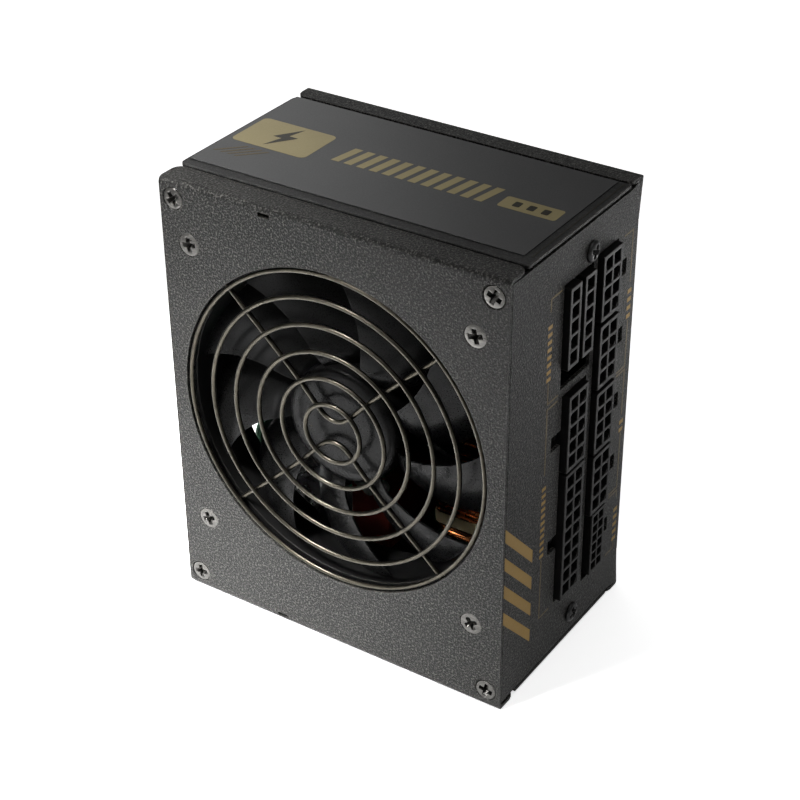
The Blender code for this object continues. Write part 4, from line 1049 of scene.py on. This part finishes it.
def wound_choke():
    """Powder core wound with enamelled copper, with a band of tape round the turns."""
    outer, hole, half = BOOST_RING
    matrix = facing((1, 0, 0), middle_of("boost_choke"))
    grow = BOOST_WIRE * 2 + 0.1
    rim, bore, side, cut = outer - grow, hole + grow, half - grow, 0.8
    core = bmesh.new()
    add_turned(core, [(rim - cut, side), (rim, side - cut), (rim, cut - side),
                      (rim - cut, -side), (bore + cut, -side), (bore, cut - side),
                      (bore, side - cut), (bore + cut, side)], matrix, 64)
    piece("choke_core", core, FINISHES["ferrite"], stands_for=("boost_choke",))
    windings = bmesh.new()
    turn = choke_loop(outer - BOOST_WIRE, hole + BOOST_WIRE, half - BOOST_WIRE)
    add_winding(windings, matrix, turn, BOOST_TURNS, TURNS_START, TURNS_SPAN, BOOST_WIRE)
    piece("choke_winding", windings, FINISHES["copper_wire"])
    band = bmesh.new()
    loop = choke_loop(outer + 0.05, hole - 0.05, half + 0.05)
    join_rows(band, [[band.verts.new(round_place(
        matrix, radius, TAPE_START + TAPE_SPAN * step / TAPE_STEPS, across))
        for radius, across in loop] for step in range(TAPE_STEPS + 1)])
    piece("choke_tape", band, FINISHES["cream_tape"])


def add_winding(bm, matrix, loop, turns, start, span, wire):
    """Wire wound round a ring's section, turn after turn along its circle."""
    path = []
    for turn in range(turns):
        for step, (radius, across) in enumerate(loop):
            angle = start + span * (turn + step / len(loop)) / turns
            path.append(round_place(matrix, radius, angle, across))
    add_wire(bm, path, wire, 8)


def line_choke():
    """Two windings on opposite halves of a green ring, with a gap between them."""
    matrix = facing((0, 1, 0), middle_of("line_choke"))
    core = bmesh.new()
    profile = [(8.9, 4.2), (9.3, 3.8), (9.3, -3.8), (8.9, -4.2), (5.4, -4.2), (5.0, -3.8),
               (5.0, 3.8), (5.4, 4.2)]
    add_turned(core, profile, matrix, 48)
    piece("line_choke_core", core, FINISHES["green_board"], stands_for=("line_choke",))
    turns = bmesh.new()
    for start in (15, 195):
        add_winding(turns, matrix, choke_loop(*LINE_TURN), 15, math.radians(start),
                    math.radians(150), LINE_WIRE)
    piece("line_choke_windings", turns, FINISHES["copper_wire"])


def choke_loop(outer, hole, half, corner=1.4):
    """One turn of wire round the core's section, as (radius, across) points."""
    points = []
    for cr, ca, start in ((outer - corner, half - corner, 0), (hole + corner, half - corner, 90),
                          (hole + corner, corner - half, 180),
                          (outer - corner, corner - half, 270)):
        for step in range(3):
            angle = math.radians(start + 45 * step)
            points.append((cr + corner * math.cos(angle), ca + corner * math.sin(angle)))
    return points


SCORE_REACH = 7.5          # half length of the three scores on the can's vent


def capacitor():
    """Sleeved can: shoulder groove, shrunk sleeve lip and a scored aluminium vent."""
    low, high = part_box("bulk_capacitor")
    radius = (high.x - low.x) / 2 / MM
    height = (high.y - low.y) / MM
    matrix = facing((0, -1, 0), middle_of("bulk_capacitor"))
    top = height / 2
    bm = bmesh.new()
    add_turned(bm, [(0, top - 0.5), (radius - 2.1, top - 0.5), (radius - 1.9, top - 0.05),
                    (radius - 0.9, top), (radius - 0.15, top - 0.6), (radius, top - 1.4),
                    (radius, top - 3.0), (radius - 0.5, top - 3.6), (radius - 0.5, top - 4.2),
                    (radius, top - 4.8), (radius, -top + 0.8), (radius - 0.8, -top),
                    (0, -top)], matrix, 72)
    piece("capacitor_sleeve", bm, FINISHES["black_sleeve"], stands_for=("bulk_capacitor",))
    bm = bmesh.new()
    add_turned(bm, [(0, top - 0.3), (radius - 2.3, top - 0.3), (radius - 2.15, top - 0.45),
                    (radius - 2.15, top - 1.2), (0, top - 1.2)], matrix, 48)
    disc = piece("capacitor_top", bm, FINISHES["aluminium"])
    for turn in range(3):
        spin = Matrix.Rotation(math.radians(60 * turn), 4, "Z")
        score = bmesh.new()
        join_rows(score, [[score.verts.new(matrix @ spin @ Vector((x, y, level)))
                           for x, y in square(SCORE_REACH, half)]
                          for level, half in ((top + 0.3, 0.3), (top - 0.55, 0.12))])
        carve(disc, score)


def transformers():
    for node in ("transformer_winding", "standby_transformer"):
        worked(node, FINISHES["yellow_tape"], 0.4)
    worked("transformer_core", FINISHES["ferrite"], 0.5)


# x, z, radius and height of each small can, and x, z of each disc and resistor
SMALL_CANS = ((2.5, 40.5, 4.0, 15.0), (2.5, 50.0, 4.0, 15.0), (4.0, 60.0, 4.0, 12.0),
              (15.5, 59.0, 5.0, 18.0), (-27.0, 70.0, 4.0, 11.0), (21.0, 12.5, 4.0, 13.0),
              (10.0, 12.0, 5.0, 18.0), (-36.0, 54.0, 3.2, 9.0))
DISCS = ((-27.5, 80.0), (-27.5, 109.0), (5.0, 27.0))
DISC_RISE = 6.0
RESISTORS = ((-38.0, 74.0), (-38.0, 79.0), (6.0, 66.5), (-22.5, 64.0), (8.0, 19.8))
RESISTOR_RISE = 2.0
THERMISTOR = (-45.6, 1.5, 34.0)
# middle and size of each bead
BEADS = ((-9.0, -2.0, 30.4, 3.0), (-5.6, -1.6, 30.6, 2.2), (-12.4, -1.4, 30.2, 2.4))
SOLDERED = BOARD_FACE + 0.2        # legs end this far into the board


def small_cans():
    """Electrolytic cans: a crimped shoulder and a bare metal top."""
    sleeves = bmesh.new()
    tops = bmesh.new()
    for x, z, radius, height in SMALL_CANS:
        matrix = facing((0, -1, 0), (x, BOARD_FACE, z))
        add_turned(sleeves, [(0, height - 0.3), (radius - 1.0, height - 0.3),
                             (radius - 0.8, height), (radius - 0.2, height - 0.1),
                             (radius, height - 0.6), (radius, height - 1.6),
                             (radius - 0.3, height - 1.9), (radius - 0.3, height - 2.3),
                             (radius, height - 2.6), (radius, 0.3), (0, 0.3)], matrix, 32)
        add_turned(tops, [(0, height - 0.1), (radius - 1.1, height - 0.1),
                          (radius - 1.1, height - 0.8), (0, height - 0.8)], matrix, 32)
    piece("small_capacitor_sleeves", sleeves, FINISHES["green_sleeve"])
    piece("small_capacitor_tops", tops, FINISHES["aluminium"])


def dipped_discs():
    """Disc capacitors, and the thermistor that limits the inrush."""
    discs = bmesh.new()
    for x, z in DISCS:
        add_turned(discs, [(0, 1.5), (2.6, 1.4), (4.0, 0.9), (4.4, 0), (4.0, -0.9),
                           (2.6, -1.4), (0, -1.5)],
                   facing((1, 0, 0.4), (x, BOARD_FACE - DISC_RISE, z)), 32)
    piece("disc_capacitors", discs, FINISHES["blue_disc"])
    disc = bmesh.new()
    add_turned(disc, [(0, 1.7), (3.6, 1.6), (5.4, 1.0), (6.0, 0), (5.4, -1.0), (3.6, -1.6),
                      (0, -1.7)], facing((1, 0, 0), THERMISTOR), 40)
    piece("inrush_thermistor", disc, FINISHES["green_sleeve"])


def silicone_beads():
    """Dabs that hold the film capacitor to its neighbour."""
    beads = bmesh.new()
    for x, y, z, size in BEADS:
        add_turned(beads, [(0, 1.3), (size * 0.5, 1.15), (size * 0.85, 0.6), (size, -0.4),
                           (size * 0.7, -1.2), (0, -1.4)], facing((0.2, -1, 0.5), (x, y, z)),
                   20)
    piece("silicone_beads", beads, FINISHES["silicone"])


def resistors():
    bodies = bmesh.new()
    for x, z in RESISTORS:
        add_turned(bodies, [(0, 3.2), (0.9, 3.2), (1.2, 2.6), (1.0, 1.6), (1.0, -1.6),
                            (1.2, -2.6), (0.9, -3.2), (0, -3.2)],
                   facing((1, 0, 0), (x, BOARD_FACE - RESISTOR_RISE, z)), 24)
    piece("resistors", bodies, FINISHES["grey_sheet"])


def component_legs():
    """Bent leads of the resistors and straight ones of the discs, down into the board."""
    legs = bmesh.new()
    for x, z in RESISTORS:
        bend = BOARD_FACE - RESISTOR_RISE + 0.2
        add_wire(legs, flowing([(x - 5.0, SOLDERED, z), (x - 4.6, bend, z),
                                (x, BOARD_FACE - RESISTOR_RISE, z), (x + 4.6, bend, z),
                                (x + 5.0, SOLDERED, z)], 3), 0.3, 8)
    for x, z in DISCS:
        for side in (-1.6, 1.6):
            add_wire(legs, [(x, BOARD_FACE - 4.5, z + side), (x, SOLDERED, z + side)], 0.3, 8)
    x, y, z = THERMISTOR
    for side in (-2.5, 2.5):
        add_wire(legs, [(x, y + 4.0, z + side), (x, SOLDERED, z + side)], 0.4, 8)
    piece("component_legs", legs, FINISHES["tinned_pin"])


# heatsink face, the side the parts are on, and their heights
TRANSISTORS = ((-10.6, 1, (46.0, 60.0)), (26.7, -1, (66.0, 97.0)))
TRANSISTOR_THICK = 4.2
TRANSISTOR_HALF = 5.0


def transistors():
    """Flat power parts clamped to the two heatsinks, with screws and legs."""
    bodies = bmesh.new()
    legs = bmesh.new()
    for x, hand, heights in TRANSISTORS:
        outer = x + hand * TRANSISTOR_THICK
        leg_x = x + hand * 1.6
        for z in heights:
            add_bar(bodies, (min(x, outer), 3.0, z - TRANSISTOR_HALF),
                    (max(x, outer), 17.0, z + TRANSISTOR_HALF))
            for offset in (-2.5, 0.0, 2.5):
                add_bar(legs, (leg_x - 0.35, 16.8, z + offset - 0.5),
                        (leg_x + 0.35, BOARD_FACE + 0.1, z + offset + 0.5))
            add_turned(legs, [(0, 1.2), (1.6, 1.0), (2.2, 0.4), (2.2, -0.3), (0, -0.3)],
                       facing((hand, 0, 0), (outer, 6.0, z)), 24)
    obj = piece("power_transistors", bodies, FINISHES["black_plastic"])
    ease(obj, 0.3, 2, 40)
    piece("transistor_legs", legs, FINISHES["tinned_pin"])


INLET_WIRE_R = 1.25
INLET_WIRES = (
    ("live_wire", "brown_wire", ((-27.3, 8.0, 107.0), (-24.8, 6.0, 106.0), (-24.6, 1.5, 100.0),
                                 (-26.0, -1.0, 90.0), (-28.6, 1.5, 80.0),
                                 (-31.0, 6.0, 74.8), (-35.2, 7.5, 74.0))),
    ("switched_wire", "brown_wire", ((-35.2, 7.5, 66.0), (-31.4, 8.6, 65.6),
                                     (-30.4, 13.5, 63.8), (-30.4, 19.5, 62.2),
                                     (-30.4, 24.6, 61.6))),
    ("neutral_wire", "blue_wire", ((-27.3, 8.0, 93.0), (-25.2, 9.4, 92.0),
                                   (-25.4, 14.0, 88.6), (-27.6, 19.5, 86.6),
                                   (-28.0, 24.6, 86.2))),
    ("earth_wire", "green_wire", ((-27.3, 12.0, 100.0), (-25.3, 13.0, 98.8),
                                  (-25.7, 17.5, 97.6), (-27.6, 21.0, 97.4),
                                  (-28.0, 24.6, 97.4))),
)


def mains_wires():
    for name, finish, points in INLET_WIRES:
        bm = bmesh.new()
        add_wire(bm, flowing(points, 8), INLET_WIRE_R, 16)
        piece(name, bm, FINISHES[finish])


PLAIN_PARTS = {
    "film_capacitor": "red_case", "line_capacitor": "yellow_tape", "fuse": "steel",
    "bridge_rectifier": "black_plastic", "primary_heatsink": "aluminium",
    "secondary_heatsink": "aluminium", "control_board": "green_board",
    "main_board": "green_board", "modular_board": "green_board",
    "insulating_sheet": "grey_sheet", "fan_plug": "ivory_plug", "fan_lead": "black_sleeve",
    "fan_bearing": "brass", "fan_stator": "copper_wire",
}


def inside():
    for make in (wound_choke, line_choke, capacitor, transformers, small_cans, dipped_discs,
                 silicone_beads, resistors, component_legs, transistors, mains_wires):
        make()
    for node, finish in PLAIN_PARTS.items():
        worked(node, FINISHES[finish], 0.12)
    for number in range(1, 5):
        worked("standoff_%d" % number, FINISHES["brass"], 0.1)
    worked("fan_shaft", FINISHES["steel"], 0.15, body="rotor")
    worked("rotor_magnet", FINISHES["ferrite"], 0.1, body="rotor")


def add_ring_mark(bm, place, u, v, radius, line, low, high, steps=28):
    """Flat ring on a surface."""
    rows = []
    for step in range(steps):
        angle = math.tau * step / steps
        rows.append([bm.verts.new(place(u + r * math.cos(angle), v + r * math.sin(angle), level))
                     for r, level in ((radius - line, low), (radius, low), (radius, high),
                                      (radius - line, high))])
    for first, second in zip(rows, rows[1:] + rows[:1]):
        for i in range(4):
            j = (i + 1) % 4
            bm.faces.new((first[i], second[i], second[j], first[j]))


ROCKER_PIVOT = (-47.7, 10.0, 70.0)
ROCKER_TILT = math.radians(12.0)
ROCKER_HALF = 7.6
ROCKER_RISE = 3.4          # from the pivot out to the middle of the rocker's face


def on_rocker(half):
    """Places on one half of the rocker's face: +1 above the pivot, -1 below it."""
    rise = ROCKER_HALF * math.tan(ROCKER_TILT)
    tilt = Matrix.Rotation(ROCKER_TILT, 3, "Y")

    def place(u, v, height):
        share = v / ROCKER_HALF
        local = Vector((-ROCKER_RISE - rise * share - height, u, half * v))
        return Vector(ROCKER_PIVOT) + tilt @ local

    return place


def switch_marks():
    """The usual stroke and ring of a mains switch."""
    bm = bmesh.new()
    add_prism(bm, slanted(-0.3, 0.3, 2.9, 5.9, 0.0), on_rocker(1), -0.05, MARK_THICK)
    piece("switch_stroke", bm, FINISHES["pale_print"], "rocker")
    bm = bmesh.new()
    add_ring_mark(bm, on_rocker(-1), 0.0, 4.4, 1.5, 0.45, -0.05, MARK_THICK)
    piece("switch_ring", bm, FINISHES["pale_print"], "rocker")


RATING_LOW, RATING_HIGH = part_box("rating_label")
RATING_MARGIN = 6.0
RATING_ROWS = 6
RATING_COLUMNS = (14.0, 30.0, 46.0, 62.0)      # rules between columns, from the first one
RULE_HALF = 0.12
ENTRY_HALF = 0.5


def on_rating(u, v, height):
    """u from the socket side, v from the fan side, on the label under the unit."""
    return (RATING_HIGH.x / MM - MIDDLE_X / MM - u, RATING_LOW.y / MM + v,
            RATING_LOW.z / MM - height)


def rating_marks():
    """A blank ruled table: frame, rules and grey bars where entries would stand."""
    left, right = RATING_MARGIN, (RATING_HIGH.x - RATING_LOW.x) / MM - RATING_MARGIN
    low, high = RATING_MARGIN, (RATING_HIGH.y - RATING_LOW.y) / MM - RATING_MARGIN
    columns = (left, *(left + u for u in RATING_COLUMNS), right)
    rules = bmesh.new()
    for row in range(RATING_ROWS + 1):
        v = low + (high - low) * row / RATING_ROWS
        add_prism(rules, slanted(left, right, v - RULE_HALF, v + RULE_HALF, 0.0), on_rating,
                  SUNK, MARK_THICK)
    for u in columns:
        add_prism(rules, slanted(u - RULE_HALF, u + RULE_HALF, low, high, 0.0), on_rating,
                  SUNK, MARK_THICK)
    piece("rating_rules", rules, FINISHES["pale_print"])
    entries = bmesh.new()
    lengths = random.Random(7)
    for row in range(RATING_ROWS):
        v = low + (high - low) * (row + 0.5) / RATING_ROWS
        for start, end in zip(columns, columns[1:]):
            reach = (end - start - 3.0) * lengths.uniform(0.45, 1.0)
            add_prism(entries, slanted(start + 1.5, start + 1.5 + reach, v - ENTRY_HALF,
                                       v + ENTRY_HALF, 0.0), on_rating, SUNK, MARK_THICK)
    piece("rating_entries", entries, FINISHES["grey_print"])


def rear():
    switch_marks()
    rating_marks()
    worked("inlet_body", FINISHES["black_plastic"], 0.15)
    worked("switch_body", FINISHES["black_plastic"], 0.15)
    worked("switch_rocker", FINISHES["satin_plastic"], 0.15, body="rocker")
    for pin in ("live_pin", "neutral_pin", "earth_pin"):
        worked(pin, FINISHES["tinned_pin"], 0.1)


# ---- studio -----------------------------------------------------------------
FLOOR_GLOW = 0.68
FLOOR_BOUNCE = (0.3, 0.3, 0.3)     # the share of the glow that lights the unit
AIR_GLOW = 0.05            # what the surroundings light the unit with
BACKDROP = 0.95            # what a camera sees of them above the floor


def floor():
    mat, tree, shader = new_finish("pale_floor", rough=0.7, specular=0.2)
    drift = group(tree, "tone_drift", Scale=3.0, Spread=0.5)
    tree.links.new(blend(tree, drift["Value"], (0.86, 0.86, 0.86), (0.89, 0.89, 0.89)),
                   shader.inputs["Base Color"])
    seen = put(tree, "ShaderNodeLightPath").outputs["Is Camera Ray"]
    tree.links.new(blend(tree, seen, FLOOR_BOUNCE, (1.0, 1.0, 1.0)),
                   shader.inputs["Emission Color"])
    shader.inputs["Emission Strength"].default_value = FLOOR_GLOW
    # clear from below, so the underside can be looked at
    clear = put(tree, "ShaderNodeBsdfTransparent")
    behind = put(tree, "ShaderNodeNewGeometry").outputs["Backfacing"]
    both = put(tree, "ShaderNodeMixShader", {0: behind})
    tree.links.new(shader.outputs["BSDF"], both.inputs[1])
    tree.links.new(clear.outputs["BSDF"], both.inputs[2])
    tree.links.new(both.outputs["Shader"], tree.nodes["Material Output"].inputs["Surface"])
    bm = bmesh.new()
    bmesh.ops.create_grid(bm, x_segments=1, y_segments=1, size=6.0,
                          matrix=Matrix.Translation((0, 0, -0.0002)))
    mesh = bpy.data.meshes.new("studio_floor")
    bm.to_mesh(mesh)
    bm.free()
    mesh.materials.append(mat)
    obj = bpy.data.objects.new("studio_floor", mesh)
    bpy.context.scene.collection.objects.link(obj)


def hang(name, kind, place, aim, watts):
    """A lamp at a place, pointed at an aim."""
    lamp = bpy.data.lights.new(name, kind)
    lamp.energy = watts
    obj = bpy.data.objects.new(name, lamp)
    bpy.context.scene.collection.objects.link(obj)
    obj.location = place
    obj.rotation_euler = (Vector(aim) - Vector(place)).to_track_quat("-Z", "Y").to_euler()
    return lamp


# place, aim, side of the square and watts
SOFTBOXES = {
    "overhead": ((-0.1, 0.05, 1.2), (0, 0, 0), 1.8, 9.0),
    "front_left": ((-0.45, -0.8, 0.17), (0, 0, 0.05), 0.3, 1.9),
    "back_left": ((-0.62, 0.58, 0.42), (-0.02, 0, 0.12), 0.4, 0.7),
    "right_fill": ((0.42, 0.05, 0.48), (0.04, 0, 0.1), 0.3, 0.3),
}
# soft pools of light on the table beside the unit: place, aim, watts and cone in degrees
POOLS = {
    "front_pool": ((-0.2, -0.32, 0.45), (-0.08, -0.085, 0.0), 230.0, 19.0),
    "back_pool": ((0.3, 0.22, 0.6), (0.22, 0.22, 0.0), 110.0, 22.0),
}


def studio():
    floor()
    world = bpy.data.worlds.new("studio_air")
    world.use_nodes = True
    air = world.node_tree
    air.nodes["Background"].inputs["Color"].default_value = (1.0, 1.0, 1.0, 1.0)
    seen = put(air, "ShaderNodeLightPath").outputs["Is Camera Ray"]
    air.links.new(ramp(air, seen, 0.0, 1.0, AIR_GLOW, BACKDROP),
                  air.nodes["Background"].inputs["Strength"])
    bpy.context.scene.world = world
    bpy.context.scene.view_settings.view_transform = "Standard"
    for name, (place, aim, side, watts) in SOFTBOXES.items():
        lamp = hang(name, "AREA", place, aim, watts)
        lamp.size = side
    for name, (place, aim, watts, cone) in POOLS.items():
        lamp = hang(name, "SPOT", place, aim, watts)
        lamp.spot_size = math.radians(cone)
        lamp.spot_blend = 1.0
        lamp.shadow_soft_size = 0.12


LENS = 85.41
CAMERA_PLACE = (MIDDLE_X + 0.23266, -0.35047, 0.32479)
CAMERA_TURN = (57.7935, 0.382, 33.4041)


def camera():
    data = bpy.data.cameras.new("view")
    data.lens = LENS
    data.sensor_width = 36.0
    data.clip_start = 0.01
    obj = bpy.data.objects.new("view", data)
    bpy.context.scene.collection.objects.link(obj)
    obj.location = CAMERA_PLACE
    obj.rotation_euler = [math.radians(angle) for angle in CAMERA_TURN]
    bpy.context.scene.camera = obj


camera()
studio()
case_sheets()
screws()
wire_guard()
fan()
sockets()
label_marks()
wall_marks()
inside()
rear()
